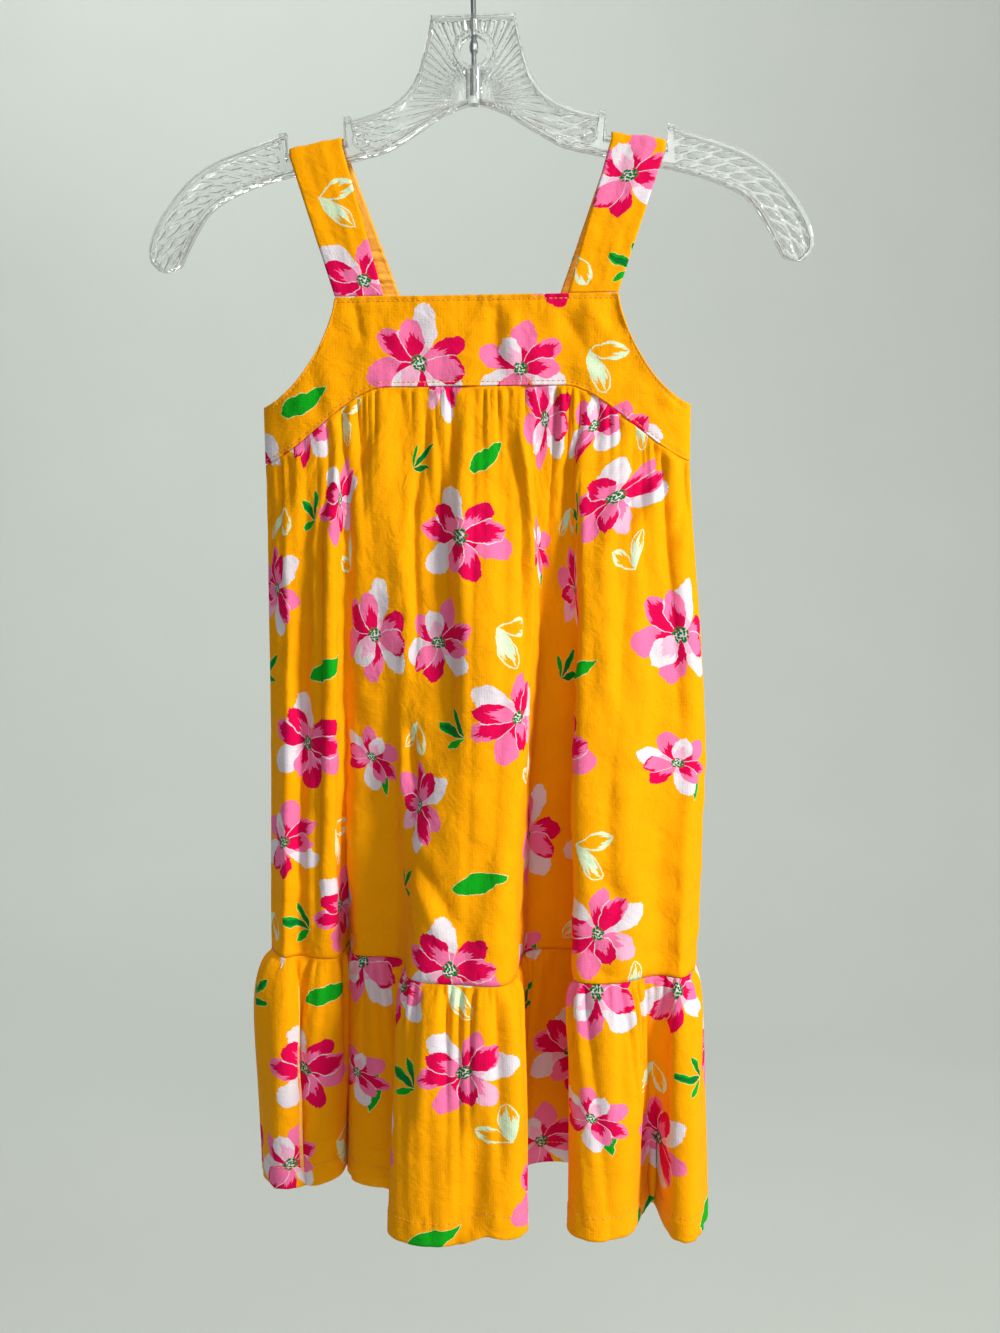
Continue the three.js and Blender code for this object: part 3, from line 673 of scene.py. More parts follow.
def gather_waves(u, spacing, seed):
    """Rounded ridges side by side with pinched troughs between, uneven in width and height."""
    draw = np.random.default_rng(seed)
    bent = u + sum(
        0.5 * spacing * draw.uniform(0.5, 1) * np.sin(2 * math.pi * u / (spacing * k) + draw.uniform(0, 6))
        for k in (3.1, 5.3, 8.9))
    height = 0.7 + 0.3 * np.sin(2 * math.pi * u / (spacing * 4.3) + draw.uniform(0, 6))
    return height * (2 * np.abs(np.sin(math.pi * bent / spacing)) ** 0.8 - 1.3)


def crease_height(u, z, rows):
    """Soft troughs and ridges that fade out at both ends."""
    total = np.zeros(np.broadcast(u, z).shape)
    for _, start, end, half_width, depth in rows:
        run = np.subtract(end, start)
        length = np.hypot(*run)
        share = ((u - start[0]) * run[0] + (z - start[1]) * run[1]) / length ** 2
        off = ((u - start[0]) * run[1] - (z - start[1]) * run[0]) / length
        fade = np.exp(-np.clip(np.abs(share - 0.5) - 0.3, 0, None) ** 2 / 0.03)
        total += depth * bell(off, 0, half_width) * fade
    return total


def grid_normals(points):
    """The unit normal at each point of a grid, out of the cloth's right side."""
    normals = np.cross(np.gradient(points, axis=1), np.gradient(points, axis=0))
    return normals / np.maximum(np.linalg.norm(normals, axis=-1, keepdims=True), 1e-9)


def raised(points, height):
    """The grid of points moved out along its own normals by height, in millimetres."""
    return points + grid_normals(points) * height[..., None]


def cloth_piece(name, points, lay):
    """A sheet of the cotton on a grid of middle points [across][down], with its print and wall."""
    faces = grid_faces(*points.shape[:2])
    piece = mesh_piece(name + "_cotton", (points + [DRESS_X, 0, 0]).reshape(-1, 3), faces.tolist())
    mesh = piece.data
    flat_lay = lay.reshape(-1, 2)
    corner_lay = np.zeros((len(faces), 4, 3))
    corner_lay[..., :2] = flat_lay[faces]
    for attribute, values in (
        ("lay", corner_lay),
        ("flower", motif_coordinates(flat_lay, faces, FLOWER_CHART)),
        ("leaf", motif_coordinates(flat_lay, faces, LEAF_CHART)),
    ):
        layer = mesh.attributes.new(attribute, "FLOAT_VECTOR", "CORNER")
        layer.data.foreach_set("vector", values.astype(np.float32).ravel())
    mesh.materials.append(cotton)
    mesh.materials.append(cotton_reverse)
    wall = piece.modifiers.new("wall", "SOLIDIFY")
    wall.thickness = CLOTH / 1000
    wall.offset = 0
    wall.material_offset = 1
    bpy.ops.object.modifier_apply(modifier="wall")
    mesh.shade_smooth()
    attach(piece, "root")
    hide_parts(name)
    return piece


def line_on(surface, distance, from_top=True):
    """Points and normals of the line that lies a distance in from a panel's top or lower edge."""
    both = np.concatenate([surface, grid_normals(surface)], axis=-1)
    both = both if from_top else both[:, ::-1]
    return np.array([
        [np.interp(distance, run_along(column[:, :3]), column[:, k]) for k in range(6)]
        for column in both])


STITCH_PITCH = 2.7
STITCH_LENGTH = 2.0
STITCH_SIDES = 5
THREAD_RADIUS = 0.24
STITCH_RINGS = ((-0.5, 0.2), (-0.3, 1.0), (0.3, 1.0), (0.5, 0.2))  # along the stitch, and its girth

# Spun polyester sewing thread: a little lighter than the ground, with its ply twist every 0.45 mm painted
# as bands of painted shade and painted highlight.
PLY_SCALE = 700.0
sewing_thread, tree, surface = new_material("polyester_sewing_thread")
spot = add_node(tree, "TexCoord")["Object"]
# painted shade in the grooves of the twist and painted highlight on the plies, as darker and lighter bands
ply_light_and_shade = add_node(tree, "TexWave", {"Vector": spot, "Scale": PLY_SCALE}, bands_direction="DIAGONAL")[1]
tone = add_node(tree, "Mix", {0: ply_light_and_shade, 6: linear("#DD9000"), 7: linear("#F2AC20")}, data_type="RGBA")[2]
shader = add_node(tree, "BsdfPrincipled", {"Base Color": tone, "Roughness": 0.55, "Sheen Weight": 0.2})[0]
tree.links.new(shader, surface)


def stitch_rows(name, lines):
    """Lockstitches along each line of points and normals, joined in one mesh."""
    places, faces = [], []
    for line in lines:
        run = run_along(line[:, :3])
        for middle in np.arange(STITCH_PITCH, run[-1] - STITCH_PITCH, STITCH_PITCH):
            spots = np.array([
                [np.interp(middle + end * STITCH_LENGTH, run, line[:, k]) for k in range(6)]
                for end in (-0.5, 0, 0.5)])
            along = spots[2, :3] - spots[0, :3]
            along /= np.linalg.norm(along)
            out = spots[1, 3:] / np.linalg.norm(spots[1, 3:])
            beside = np.cross(along, out)
            centre = spots[1, :3] + out * (CLOTH / 2 + 0.1)
            first = len(places)
            for share, girth in STITCH_RINGS:
                for turn in np.arange(STITCH_SIDES) * 2 * math.pi / STITCH_SIDES:
                    places.append(centre + along * share * STITCH_LENGTH + THREAD_RADIUS * girth * (
                        out * (math.cos(turn) + girth - 1) + beside * math.sin(turn)))
            for ring_start in range(first, len(places) - STITCH_SIDES, STITCH_SIDES):
                for side in range(STITCH_SIDES):
                    a, b = ring_start + side, ring_start + (side + 1) % STITCH_SIDES
                    faces.append((a, b, b + STITCH_SIDES, a + STITCH_SIDES))
            faces.append(tuple(range(first + STITCH_SIDES - 1, first - 1, -1)))
            faces.append(tuple(range(len(places) - STITCH_SIDES, len(places))))
    piece = mesh_piece(name, np.array(places) + [DRESS_X, 0, 0], faces)
    piece.data.materials.append(sewing_thread)
    piece.data.shade_smooth()
    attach(piece, "root")
    return piece


# The folds, as the CAD has them: place across at the yoke, mid-skirt, ruffle seam and hem; how far
# each stands out behind (+) or in front (-) at the last three; the ruffle's puff and its hem's lift.
FRONT_FOLDS = [
    ("side seam, left", -117.5, -119, -123, -121, 2, 6, 8, 12, 5),
    ("rounded side", -107, -107, -113, -113, -12, -14, -10, 10, 4),
    ("narrow trough", -94, -98, -103, -106, -5, -10, -7, 7, 3),
    ("ridge beside it", -86, -88, -91, -96, -15, -15, -9, 5, 4),
    ("sharp left edge", -78, -79, -81, -86, -15, -11, -3, 2, 6),
    ("slit behind it", -71, -74, -79, -83, -7, 12, 24, 1, 7),
    ("second panel, edge", -64, -67, -71, -76, -13, -8, -5, 1, 4),
    ("second panel, end", -45, -45, -45, -42, -20, -12, -12, 3, 1),
    ("middle panel, left", -27, -27, -34, -42, -24, -44, -54, 4, 0),
    ("middle panel", -3, -3, -7, -9, -32, -50, -60, 4, 0),
    ("middle panel, right", 21, 25, 19, 24, -28, -46, -54, 4, 5),
    ("deep valley, left", 36, 33, 26, 20, -4, 6, 15, 2, 6),
    ("deep valley, right", 49, 55, 59, 60, -4, 5, 14, 2, 6),
    ("right panel, edge", 58, 56, 54, 56, -26, -38, -44, 4, 2),
    ("right panel", 75, 75, 76, 77, -30, -42, -46, 5, 1),
    ("right trough", 91, 98, 98, 98, -18, -28, -16, 3, 5),
    ("right corner", 104, 116, 113, 114, -16, -30, -46, 5, 0),
]
BACK_FOLDS = [
    ("side seam, right", 113.5, 123, 120, 123, 0, -4, -11, 5, 2),
    ("rounded side", 103, 112, 109, 113, 11, 12, 9, 5, 3),
    ("right trough", 84, 86, 88, 91, 9, 9, 7, 3, 5),
    ("right ridge", 62, 64, 65, 67, 20, 28, 34, 5, 2),
    ("shallow dip", 39, 41, 41, 42, 17, 23, 31, 4, 4),
    ("middle ridge", 12, 12, 13, 13, 22, 31, 39, 5, 1),
    ("middle trough", -14, -14, -16, -18, 15, 16, 16, 3, 5),
    ("left ridge", -38, -38, -40, -42, 21, 29, 37, 5, 1),
    ("left dip", -61, -61, -62, -64, 17, 23, 31, 4, 3),
    ("broad left ridge", -86, -86, -88, -92, 20, 29, 38, 5, 2),
    ("rounded side", -108, -109, -110, -116, 12, 16, 21, 6, 4),
]
SIDE_RIGHT = len(FRONT_FOLDS)
SIDE_LEFT = SIDE_RIGHT + len(BACK_FOLDS)
fold_rows = np.array([row[1:] for row in FRONT_FOLDS + BACK_FOLDS], float)
facing = np.where(np.arange(SIDE_LEFT) < SIDE_RIGHT, -1.0, 1.0)
FOLD_ACROSS = fold_rows[:, :4]
FOLD_OUT = np.column_stack([facing * yoke_depth(fold_rows[:, 0]), fold_rows[:, 4:7]])
FOLD_PUFF, FOLD_LIFT = fold_rows[:, 7], fold_rows[:, 8]


def at_level(values, level):
    """Values at the yoke, mid-skirt, ruffle seam and hem, read at 0 to 2, where 1 is the seam."""
    place = np.where(level < 1, 2 * level, 1 + level)
    index = np.minimum(np.floor(place).astype(int), 2)
    knots = [values[:, np.clip(index + step, 0, 3)] for step in (-1, 0, 1, 2)]
    return catmull_rom(*knots, place - index)


def round_ring(place, values):
    """A value that each fold has, read smoothly round the closed ring of folds."""
    index = np.floor(place).astype(int)
    share = (place - index).reshape((-1,) + (1,) * (values.ndim - 1))
    knots = [values[(index + step) % SIDE_LEFT] for step in (-1, 0, 1, 2)]
    return catmull_rom(*knots, share)


def ring(place, level):
    """Across and out, for places round the ring by levels."""
    return round_ring(place, at_level(FOLD_ACROSS, level)), round_ring(place, at_level(FOLD_OUT, level))


def even_places(first, last, count, level):
    """Places along one panel, evenly spaced along the cloth at that level."""
    trim = SEAM_GAP / 2 / SEAM_TO_FOLD
    fine = np.linspace(first + trim, last - trim, 40 * count)
    x, y = ring(fine, np.array([level]))
    run = np.concatenate([[0], np.cumsum(np.hypot(np.diff(x[:, 0]), np.diff(y[:, 0])))])
    return np.interp(np.linspace(0, run[-1], count), run, fine)


def yoke_top(across):
    """Upper edge of a yoke: straight across the neck, then round each armhole."""
    hand = np.sign(across - CHEST_X)
    share = np.abs(across - CHEST_X) / CHEST_HALF
    neck_share = NECK_HALF / CHEST_HALF
    turn = np.clip((math.pi / 2) * (share - neck_share) / (1 - neck_share), 0, math.pi / 2)
    inward, fall = np.cos(turn) ** ARMHOLE_POWER, np.sin(turn) ** ARMHOLE_POWER
    curved = share > neck_share
    x = np.where(curved, (CHEST_X + hand * CHEST_HALF) * (1 - inward) + hand * NECK_HALF * inward,
                 hand * share * CHEST_HALF)
    return x, np.where(curved, NECK_Z + (UNDERARM_Z - NECK_Z) * fall, NECK_Z)


def yoke_points(first, last):
    """The grid of a yoke's points, from its upper edge down to the arched seam."""
    places = even_places(first, last, YOKE_COLUMNS, 0)
    share = np.linspace(0, 1, YOKE_ROWS)[None]
    foot_x, foot_y = ring(places, np.zeros(1))
    top_x, top_z = yoke_top(foot_x)
    x = top_x * (1 - share) + foot_x * share
    y = np.sign(foot_y) * np.maximum(yoke_depth(x), PARTED)
    z = top_z * (1 - share) + yoke_seam_z(foot_x) * share
    return np.stack([x, y, z], axis=-1)


# Where each panel was cut from the printed cloth: its middle and top on the chart.
LAY = {
    "front_yoke": (100, 30), "back_yoke": (20, 75), "skirt_front": (0, 0), "skirt_back": (40, 60),
    "ruffle_front": (22, 42), "ruffle_back": (60, 20), "strap_left": (15, 203),
    "strap_right": (-26, 218),
}

# Creases worn into the hanging cloth: from (across, height) to (across, height), half width and
# depth, in millimetres; a negative depth is a trough.
FRONT_YOKE_CREASES = [
    ("under the neck", (10, -205), (12, -240), 3.5, -1.6),
    ("beside it", (19, -207), (20, -242), 4.0, 1.2),
    ("left of the middle", (-22, -208), (-24, -244), 5.0, 0.7),
    ("left neck corner", (-65, -205), (-61, -228), 3.0, -1.5),
    ("left armhole pull", (-100, -262), (-72, -250), 4.0, 0.9),
    ("left side line", (-88, -240), (-84, -268), 4.0, -0.8),
    ("right diagonal", (44, -210), (66, -242), 4.5, -1.6),
    ("right corner ridge", (58, -208), (76, -232), 4.0, 1.2),
    ("right armhole pull", (84, -236), (100, -268), 4.0, -0.9),
]
BACK_YOKE_CREASES = [
    ("left of the neck", (-52, -207), (-46, -240), 4.0, -1.0),
    ("beside it", (-42, -208), (-37, -242), 4.5, 0.8),
    ("middle line", (6, -206), (3, -243), 4.0, 0.8),
    ("right diagonal", (40, -212), (62, -244), 4.5, -1.0),
    ("armhole pull", (-100, -266), (-80, -244), 4.0, -0.9),
    ("other armhole pull", (84, -240), (101, -266), 4.0, 0.8),
]

# How far each row of stitches lies in from its edge.
TOP_STITCH = 2.4
SEAM_STITCH = 2.2

for name, first, last, creases, seed in (
    ("front_yoke", 0, SIDE_RIGHT, FRONT_YOKE_CREASES, 11),
    ("back_yoke", SIDE_RIGHT, SIDE_LEFT, BACK_YOKE_CREASES, 12),
):
    points = yoke_points(first, last)
    x, z = points[..., 0], points[..., 2]
    below_top = points[:, :1, 2] - z
    above_seam = z - points[:, -1:, 2]
    lay = np.stack([x + LAY[name][0], -z + LAY[name][1]], axis=-1)
    # a lip where the edge is turned, small puckers at both seams and a soft ripple between
    height = 0.35 * bell(below_top, 0, 1.2) - 0.28 * bell(below_top, 2.6, 0.8)
    height += 0.5 * np.exp(-below_top / 7) * gather_waves(x, 7.5, seed)
    height += 0.5 * np.exp(-above_seam / 6) * gather_waves(x, 6.0, seed + 20)
    height += 0.35 * bell(above_seam, 0, 1.0) - 0.25 * bell(above_seam, 2.4, 0.7)
    loose = 1.2 * soft_noise(x, 0.6 * z, 30, seed + 40) + 0.5 * soft_noise(x, z, 13, seed + 41)
    height += (loose + crease_height(x, z, creases)) * np.clip(below_top / 6, 0, 1)
    edge = np.clip((CHEST_HALF - np.abs(x - CHEST_X)) / 8, 0, 1)
    surface = raised(points, height * edge)
    cloth_piece(name, surface, lay)
    seams = [line_on(surface, TOP_STITCH), line_on(surface, SEAM_STITCH, from_top=False)]
    rows = stitch_rows(name + "_stitches", seams)


# ---- straps ---------------------------------------------------------------------------------
# A strap is a folded and pressed tube of the cotton. It runs flat from the front neck edge up
# over the hanger's arm, and its back end is drawn up on elastic.

# inner and outer edges at the front neck edge, the back one and the hanger's arm
STRAP_FRONT = (49, 75)
STRAP_BACK = (43, 67)
STRAP_CREST = (71, 99)
STRAP_WIDE = 27
STRAP_COLUMNS = 23
LEG_STEPS = 72
CREST_STEPS = 5
ELASTIC_LENGTH = 44
NOTCH_X = (66, 106)
NOTCH_Z = (-121.5, -128.8)
OVER = 5.7  # half the arm's thickness with the cloth's clearance
# out from the middle of the arm and up from the notch's floor, from back to front
CREST_STATIONS = [(OVER, -2), (OVER - 1, 1.4), (1.6, 2), (-1.6, 2), (-OVER + 1, 1.4), (-OVER, -2)]


def strap_foot(hand, across, edges, side):
    """A row of the strap's points just above a yoke's neck edge."""
    x = hand * (edges[0] + (edges[1] - edges[0]) * across)
    return np.stack([x, side * yoke_depth(x), np.full_like(x, NECK_Z + SEAM_GAP)], axis=-1)


def strap_crest(hand, across, out, rise):
    """A row of the strap's points over the notch in the hanger's arm."""
    x = hand * (STRAP_CREST[0] + (STRAP_CREST[1] - STRAP_CREST[0]) * across)
    share = (np.abs(x + DRESS_X) - NOTCH_X[0]) / (NOTCH_X[1] - NOTCH_X[0])
    floor = NOTCH_Z[0] + (NOTCH_Z[1] - NOTCH_Z[0]) * share
    return np.stack([x, np.full_like(x, out), floor + rise], axis=-1)


def strap_points(hand, across):
    """The grid of a strap's points, from the back neck edge over the hanger to the front one."""
    stations = [strap_foot(hand, across, STRAP_BACK, 1)]
    stations += [strap_crest(hand, across, *station) for station in CREST_STATIONS]
    stations += [strap_foot(hand, across, STRAP_FRONT, -1)]
    legs = (0, len(stations) - 2)
    rows = []
    for i in range(len(stations) - 1):
        start, end = stations[i], stations[i + 1]
        # the two legs are straight, so the curve over the arm takes no heed of their far ends
        before = start if i - 1 in legs else stations[i - 1]
        after = end if i + 1 in legs else stations[min(i + 2, len(stations) - 1)]
        for share in np.arange(0, 1, 1 / (LEG_STEPS if i in legs else CREST_STEPS)):
            if i in legs:
                rows.append(start * (1 - share) + end * share)
            else:
                rows.append(catmull_rom(before, start, end, after, share))
    return np.stack(rows + [stations[-1]], axis=1)


for name, hand, seed in (("strap_left", -1, 51), ("strap_right", 1, 52)):
    across = np.linspace(0, 1, STRAP_COLUMNS)[::hand]
    points = strap_points(hand, across)
    run = run_along(points[STRAP_COLUMNS // 2])[None]
    from_front = run[:, -1:] - run
    side = (across[:, None] - 0.5) * STRAP_WIDE * hand
    lay = np.stack(np.broadcast_arrays(side + LAY[name][0], LAY[name][1] - from_front), axis=-1)
    # soft lengthwise creases in front, tight ruches across the elastic behind
    fading = np.clip(from_front / 12, 0, 1) * np.clip(run / 12, 0, 1)
    height = 0.5 * bell(side, 4, 2.2) - 0.45 * bell(side, -5, 2.6)
    height = height * fading + 0.35 * soft_noise(side, from_front, 22, seed) * fading
    edge = np.clip((STRAP_WIDE / 2 - np.abs(side)) / 1.4, 0, 1)
    height += 0.3 * edge
    elastic = np.clip((ELASTIC_LENGTH - run) / 10, 0, 1)
    height += 1.2 * elastic * gather_waves(run + 0.06 * side, 4.2, seed + 3) * (0.6 + 0.4 * edge)
    cloth_piece(name, raised(points, height), lay)


# ---- skirt ----------------------------------------------------------------------------------
# Front and back are each one straight width of the cotton. The top edge is cut to the arch, drawn
# up on two rows of gathering and sewn into the yoke seam.

RUFFLE_Z = -567.5
SKIRT_ROWS = 150
SKIRT_ROWS_POWER = 1.12  # rows stand a little closer near the gathers
PANEL_MIDDLE_X = -3
SETTLED_SHARE = 0.22  # the gathered width has spread out this far down
# rise of the waves, the depths at which they set in and fade, their spacing, and how they drift
SKIRT_GATHERS = [(2.4, 0, 15, 7.0, 0.1), (3.0, 8, 42, 13, 1), (2.0, 20, 170, 27, 1)]
FRONT_CREASES = [
    ("shaded side of the long fold", (-27, -258), (-17, -440), 8.0, -4.2),
    ("crest of the long fold", (-12, -270), (-3, -450), 8.0, 2.6),
    ("second long trough", (27, -275), (33, -420), 7.0, -3.4),
    ("its crest", (39, -262), (44, -400), 6.0, 2.0),
    ("left end of the panel", (-46, -262), (-43, -400), 5.0, -2.2),
    ("worn diagonal", (-52, -432), (-40, -466), 4.5, -3.0),
    ("its lower turn", (-40, -466), (-44, -492), 4.0, -2.6),
    ("ridge beside it", (-60, -440), (-52, -476), 5.0, 2.2),
    ("knee wrinkle", (-36, -500), (-8, -536), 5.0, -2.6),
    ("knee wrinkle ridge", (-30, -516), (-12, -548), 5.5, 2.0),
    ("crossing wrinkle", (-62, -520), (-30, -548), 5.0, -2.0),
    ("low middle fold", (10, -440), (2, -556), 7.0, -2.2),
    ("right panel fold", (180, -262), (186, -430), 6.0, -2.6),
    ("right panel crest", (194, -262), (199, -440), 6.0, 1.8),
    ("right panel line", (158, -300), (160, -470), 5.0, 1.6),
    ("low right fold", (176, -440), (184, -560), 6.5, -2.0),
    ("low right wrinkle", (168, -500), (196, -540), 5.0, -1.4),
    ("right side line", (216, -300), (220, -480), 6.0, -2.0),
    ("slit in the left side", (-149, -296), (-153, -556), 3.0, -4.5),
    ("left side crest", (-141, -290), (-143, -520), 4.0, 1.6),
    ("left side wrinkle", (-176, -420), (-160, -470), 4.5, 1.6),
]
BACK_CREASES = [
    ("long fold", (-30, -258), (-24, -430), 8.0, -3.4),
    ("its crest", (-16, -262), (-10, -440), 8.0, 2.4),
    ("seat wrinkle", (-60, -400), (-20, -430), 6.0, -2.2),
    ("seat wrinkle ridge", (-56, -414), (-16, -446), 6.0, 1.8),
    ("second long fold", (34, -260), (38, -460), 7.0, -2.8),
    ("its crest", (48, -262), (52, -470), 7.0, 2.0),
    ("long soft trough", (74, -320), (70, -500), 6.5, -2.0),
    ("left line", (-104, -310), (-100, -450), 5.5, -2.0),
    ("left crest", (-88, -290), (-84, -440), 6.0, 1.6),
    ("low crossing", (10, -500), (48, -536), 5.5, -1.8),
]


def panel_widths(points):
    """Distance along the cloth from the panel's middle, at each level."""
    steps = np.linalg.norm(np.diff(points[..., :2], axis=0), axis=-1)
    run = np.concatenate([np.zeros((1, points.shape[1])), np.cumsum(steps, axis=0)])
    start = np.abs(points[:, -1, 0] - PANEL_MIDDLE_X).argmin()
    return run - run[start]


def gathers(u, drift, below, rows, seed):
    """The waves of gathered cloth, from small ones at the seam to broad ones further down."""
    total = 0
    for i, (rise, sets_in, fades, spacing, drifting) in enumerate(rows):
        wave = rise * np.exp(-below / fades) * gather_waves(u + drifting * drift, spacing, seed + i)
        total = total + wave * (1 - np.exp(-below / sets_in) if sets_in else 1)
    return total


def side_fade(columns):
    """Nothing at a panel's side edges, and 1 from a few columns in."""
    from_side = np.minimum(np.arange(columns), np.arange(columns)[::-1])
    return np.clip(from_side / 6, 0, 1)[:, None]


for name, first, last, columns, creases, seed in (
    ("skirt_front", 0, SIDE_RIGHT, 270, FRONT_CREASES, 61),
    ("skirt_back", SIDE_RIGHT, SIDE_LEFT, 190, BACK_CREASES, 62),
):
    places = even_places(first, last, columns, 0.75)
    level = np.linspace(0, 1, SKIRT_ROWS) ** SKIRT_ROWS_POWER
    x, y = ring(places, level)
    top = yoke_seam_z(ring(places, np.zeros(1))[0]) - SEAM_GAP
    z = top * (1 - level) + RUFFLE_Z * level
    side = -1 if name == "skirt_front" else 1
    y = y + side * np.clip(PARTED - side * y, 0, 2 * PARTED) * bell(top - z, 0, 80)
    points = np.stack([x, y, z], axis=-1)
    widths = panel_widths(points)
    settled = np.clip(level / SETTLED_SHARE, 0, 1)
    settled = settled * settled * (3 - 2 * settled)
    fullness = (widths[-1, -1] - widths[0, -1]) / (widths[-1, 0] - widths[0, 0])
    u = widths[:, :1] * fullness * (1 - settled) + widths[:, -1:] * settled
    lay = np.stack([u + LAY[name][0], -z + LAY[name][1]], axis=-1)
    below, above = top - z, z - RUFFLE_Z
    seam_run = widths[:, :1] + 0 * z
    drift = 0.07 * below * np.sin(seam_run / 31)
    height = gathers(seam_run, drift, below, SKIRT_GATHERS, seed)
    height += 0.8 * bell(above, 3, 3) * gather_waves(u, 5.6, seed + 3)
    uneven = 1.9 * soft_noise(u, 0.35 * z, 42, seed + 4) + 0.6 * soft_noise(u, z, 21, seed + 5)
    height += uneven * np.clip(below / 40, 0, 1) + crease_height(u, z, creases)
    # the cloth is pinched flat into both seams
    height = height * (1 - bell(above, 0, 3.4)) * (1 - bell(below, 0, 2.4))
    cloth_piece(name, raised(points, height * side_fade(columns)), lay)


# ---- ruffle ---------------------------------------------------------------------------------
# Two strips of the cotton, cut across the whole width and gathered to the foot of the skirt.
# The hem is turned up 12 mm and stitched all round.

HEM_Z = -709.0
HEM_TURN = 12.0
HEM_STITCH = 12.8
PUFF_LENGTH = 0.1  # share of the ruffle's depth in which it puffs out from the seam
PINCH_LENGTH = 0.025
RUFFLE_ROWS = 92
WIDTH_ROW = 20  # the cloth's width is measured along this row, below the puff
PRINT_STRETCH = 1.04
# as for the skirt
RUFFLE_GATHERS = [(2.2, 0, 13, 7.0, 0), (4.0, 7, 44, 14, 1), (1.8, 0, 140, 31, 1)]
FRONT_RUFFLE_CREASES = [
    ("sharp pleat", (18, -570), (16, -668), 3.5, -3.0),
    ("ridge beside it", (26, -572), (24, -655), 4.5, 2.0),
    ("low trough", (7, -640), (2, -706), 5.5, -3.2),
    ("low ridge", (-5, -645), (-10, -706), 6.0, 2.0),
    ("left end fold", (-30, -572), (-32, -650), 4.0, -2.2),
    ("left end crest", (-20, -574), (-22, -640), 5.0, 1.6),
    ("second panel fold", (-96, -572), (-98, -660), 5.0, -2.4),
    ("left panel fold", (-178, -572), (-182, -652), 4.5, -2.4),
    ("left panel crest", (-188, -574), (-193, -660), 5.0, 1.8),
    ("left panel, low", (-176, -650), (-186, -704), 5.5, -2.0),
    ("right panel pleat", (204, -572), (203, -640), 4.0, -2.6),
    ("right panel crest", (213, -574), (214, -660), 5.0, 2.0),
    ("right panel, low", (222, -640), (230, -706), 6.0, -2.6),
    ("right corner pleat", (236, -572), (238, -650), 4.0, -2.2),
]
BACK_RUFFLE_CREASES = [
    ("pleat", (-52, -572), (-54, -660), 4.0, -2.6),
    ("crest", (-42, -574), (-44, -650), 5.0, 1.8),
    ("middle pleat", (14, -572), (12, -648), 4.5, -2.4),
    ("low trough", (28, -640), (34, -706), 6.0, -2.4),
    ("right pleat", (84, -572), (86, -664), 4.5, -2.4),
    ("right crest", (94, -574), (97, -650), 5.0, 1.8),
    ("left pleat", (-110, -572), (-112, -650), 4.5, -2.2),
]
# where the hem curls up: along the cloth, half width, lift
FRONT_HEM_CURLS = [(9, 8, 4.0), (-188, 12, 1.5), (214, 11, -1.5)]
BACK_HEM_CURLS = [(-30, 10, 2.0), (60, 12, 1.5)]

ruffles, hems = {}, {}
for name, first, last, columns, creases, curls, seed in (
    ("ruffle_front", 0, SIDE_RIGHT, 400, FRONT_RUFFLE_CREASES, FRONT_HEM_CURLS, 71),
    ("ruffle_back", SIDE_RIGHT, SIDE_LEFT, 240, BACK_RUFFLE_CREASES, BACK_HEM_CURLS, 72),
):
    places = even_places(first, last, columns, 1.5)
    share = np.linspace(0, 1, RUFFLE_ROWS)
    x, y = ring(places, 1 + share)
    ahead_x, ahead_y = ring(places + 0.05, 1 + share)
    behind_x, behind_y = ring(places - 0.05, 1 + share)
    along_x, along_y = ahead_x - behind_x, ahead_y - behind_y
    length = np.hypot(along_x, along_y)
    puff = round_ring(places, FOLD_PUFF)[:, None] * (1 - np.exp(-share / PUFF_LENGTH))
    puff = puff * (1 - bell(share, 0, PINCH_LENGTH))
    x, y = x + along_y / length * puff, y - along_x / length * puff
    widths = panel_widths(np.stack([x, y], axis=-1))
    u = widths[:, WIDTH_ROW:WIDTH_ROW + 1] + 0 * x
    hem = HEM_Z + round_ring(places, FOLD_LIFT)[:, None]
    for middle, half_width, lift in curls:
        hem = hem + lift * bell(u[:, :1], middle, half_width)
    z = (RUFFLE_Z - SEAM_GAP) * (1 - share) + hem * share
    points = np.stack([x, y, z], axis=-1)
    lay = np.stack([u * PRINT_STRETCH + LAY[name][0], -z + LAY[name][1]], axis=-1)
    below, above = RUFFLE_Z - z, z - hem
    drift = 0.12 * below * np.sin(u / 37)
    height = gathers(u, drift, below, RUFFLE_GATHERS, seed)
    height += 0.8 * bell(below, 2.4, 1.6) * gather_waves(u, 5.2, seed + 5)
    height += 1.3 * soft_noise(u, 0.4 * z, 36, seed + 4) * np.clip(below / 30, 0, 1)
    height += crease_height(u, z, creases)
    # the turned-up hem is a little thicker, puckers at its stitches and waves at its edge
    height += 0.3 * np.clip((HEM_TURN - above) / 0.8, 0, 1)
    height += 0.5 * bell(above, HEM_TURN, 3.0) * gather_waves(u, 8, seed + 6)
    height += 0.9 * np.exp(-above / 9) * gather_waves(u, 21, seed + 7)
    height = height * (1 - bell(below, 0, 2.6))
    surface = raised(points, height * side_fade(columns))
    ruffles[name] = cloth_piece(name, surface, lay)
    hem_line = line_on(surface, HEM_STITCH, from_top=False)
    hems[name] = stitch_rows(name + "_hem_stitches", [hem_line])


# ---- floor, backdrop and light --------------------------------------------------------------
# A pale sweep of paper under soft studio light, brighter from the right.

SWEEP_HALF_WIDTH = 6000
SWEEP_FRONT_Y = -6000
SWEEP_BACK_Y = 3200
SWEEP_RADIUS = 1600
SWEEP_TOP_Z = 4500
SWEEP_STEPS = 24
FLOOR_Z = -1300

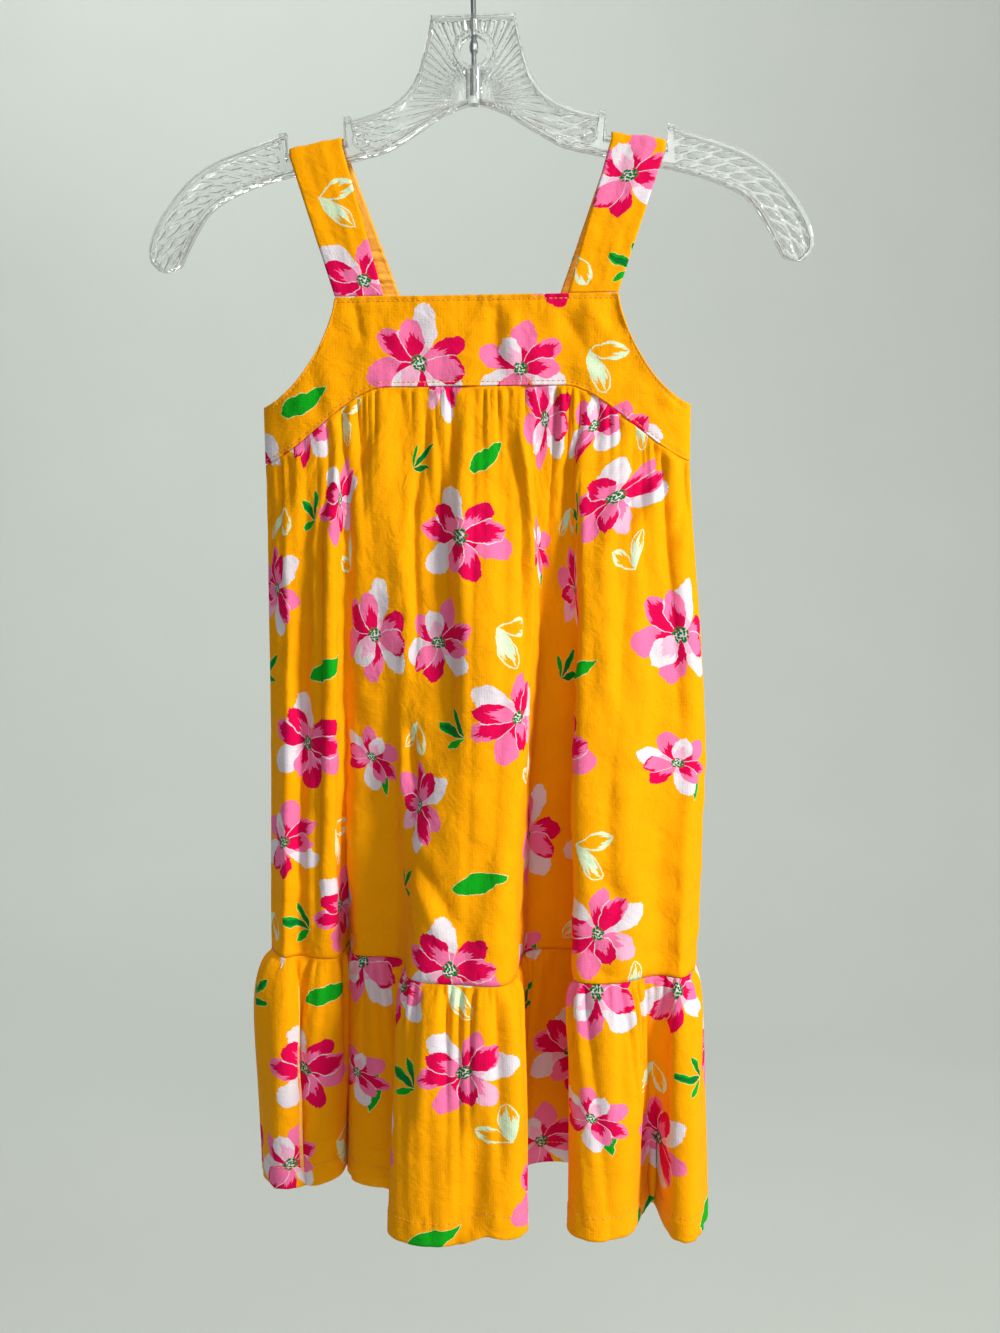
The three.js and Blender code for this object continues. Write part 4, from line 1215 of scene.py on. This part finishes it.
profile = [(SWEEP_FRONT_Y, FLOOR_Z)]
for turn in np.linspace(0, math.pi / 2, SWEEP_STEPS):
    profile.append((SWEEP_BACK_Y - SWEEP_RADIUS * (1 - math.sin(turn)),
                    FLOOR_Z + SWEEP_RADIUS * (1 - math.cos(turn))))
profile.append((SWEEP_BACK_Y, SWEEP_TOP_Z))
count = len(profile)
sweep = mesh_piece(
    "paper_sweep", [(x, y, z) for x in (-SWEEP_HALF_WIDTH, SWEEP_HALF_WIDTH) for y, z in profile],
    [(i, i + count, i + 1 + count, i + 1) for i in range(count - 1)])

# Matt background paper: even and pale, with a hardly visible unevenness of tone.
paper, tree, surface = new_material("pale_paper")
spot = add_node(tree, "TexCoord")["Object"]
grain = add_node(tree, "TexNoise", {"Vector": spot, "Scale": 3.0, "Detail": 4})[0]
tone = add_node(tree, "Mix", {0: grain, 6: linear("#C3C8C2"), 7: linear("#C9CDC8")}, data_type="RGBA")[2]
shader = add_node(tree, "BsdfPrincipled", {"Base Color": tone, "Roughness": 0.9})[0]
tree.links.new(shader, surface)
sweep.data.materials.append(paper)
sweep.data.shade_smooth()

world = bpy.data.worlds.new("soft_room")
bpy.context.scene.world = world
world.use_nodes = True
tree = world.node_tree
facing_way = add_node(tree, "SeparateXYZ", {0: add_node(tree, "TexCoord")["Generated"]})
rightward = add_node(tree, "MapRange", {
    "Value": facing_way[0], "From Min": -1.0, "To Min": 0.16, "To Max": 0.36})[0]
skyward = add_node(tree, "MapRange", {
    "Value": facing_way[2], "From Min": -1.0, "To Min": 0.55, "To Max": 1.25})[0]
strength = add_node(tree, "Math", {0: rightward, 1: skyward}, operation="MULTIPLY")[0]
tree.nodes["Background"].inputs["Color"].default_value = linear("#EDF1F0")
tree.links.new(strength, tree.nodes["Background"].inputs["Strength"])

DRESS_MIDDLE = (0, 0, -0.4)
BACKDROP_LEFT = (-0.6, 3.0, 0.5)
for name, place, target, size, energy, colour in (
    ("window_right", (2.2, -1.3, 0.8), DRESS_MIDDLE, 0.55, 92, "#FFFBF5"),
    ("front_fill", (0.4, -2.6, 0.6), DRESS_MIDDLE, 1.2, 12, "#F7FAFF"),
    ("backdrop_wash", (-1.4, 0.9, 1.9), BACKDROP_LEFT, 1.8, 62, "#F4F8F6"),
):
    bpy.ops.object.light_add(type="AREA", location=place)
    light = bpy.context.object
    light.name = name
    light.data.size = size
    light.data.energy = energy
    light.data.color = linear(colour)[:3]
    aim = np.subtract(target, place)
    light.rotation_euler = (
        math.atan2(math.hypot(aim[0], aim[1]), -aim[2]), 0, math.atan2(aim[1], aim[0]) - math.pi / 2)

bpy.context.scene.view_settings.view_transform = "Standard"
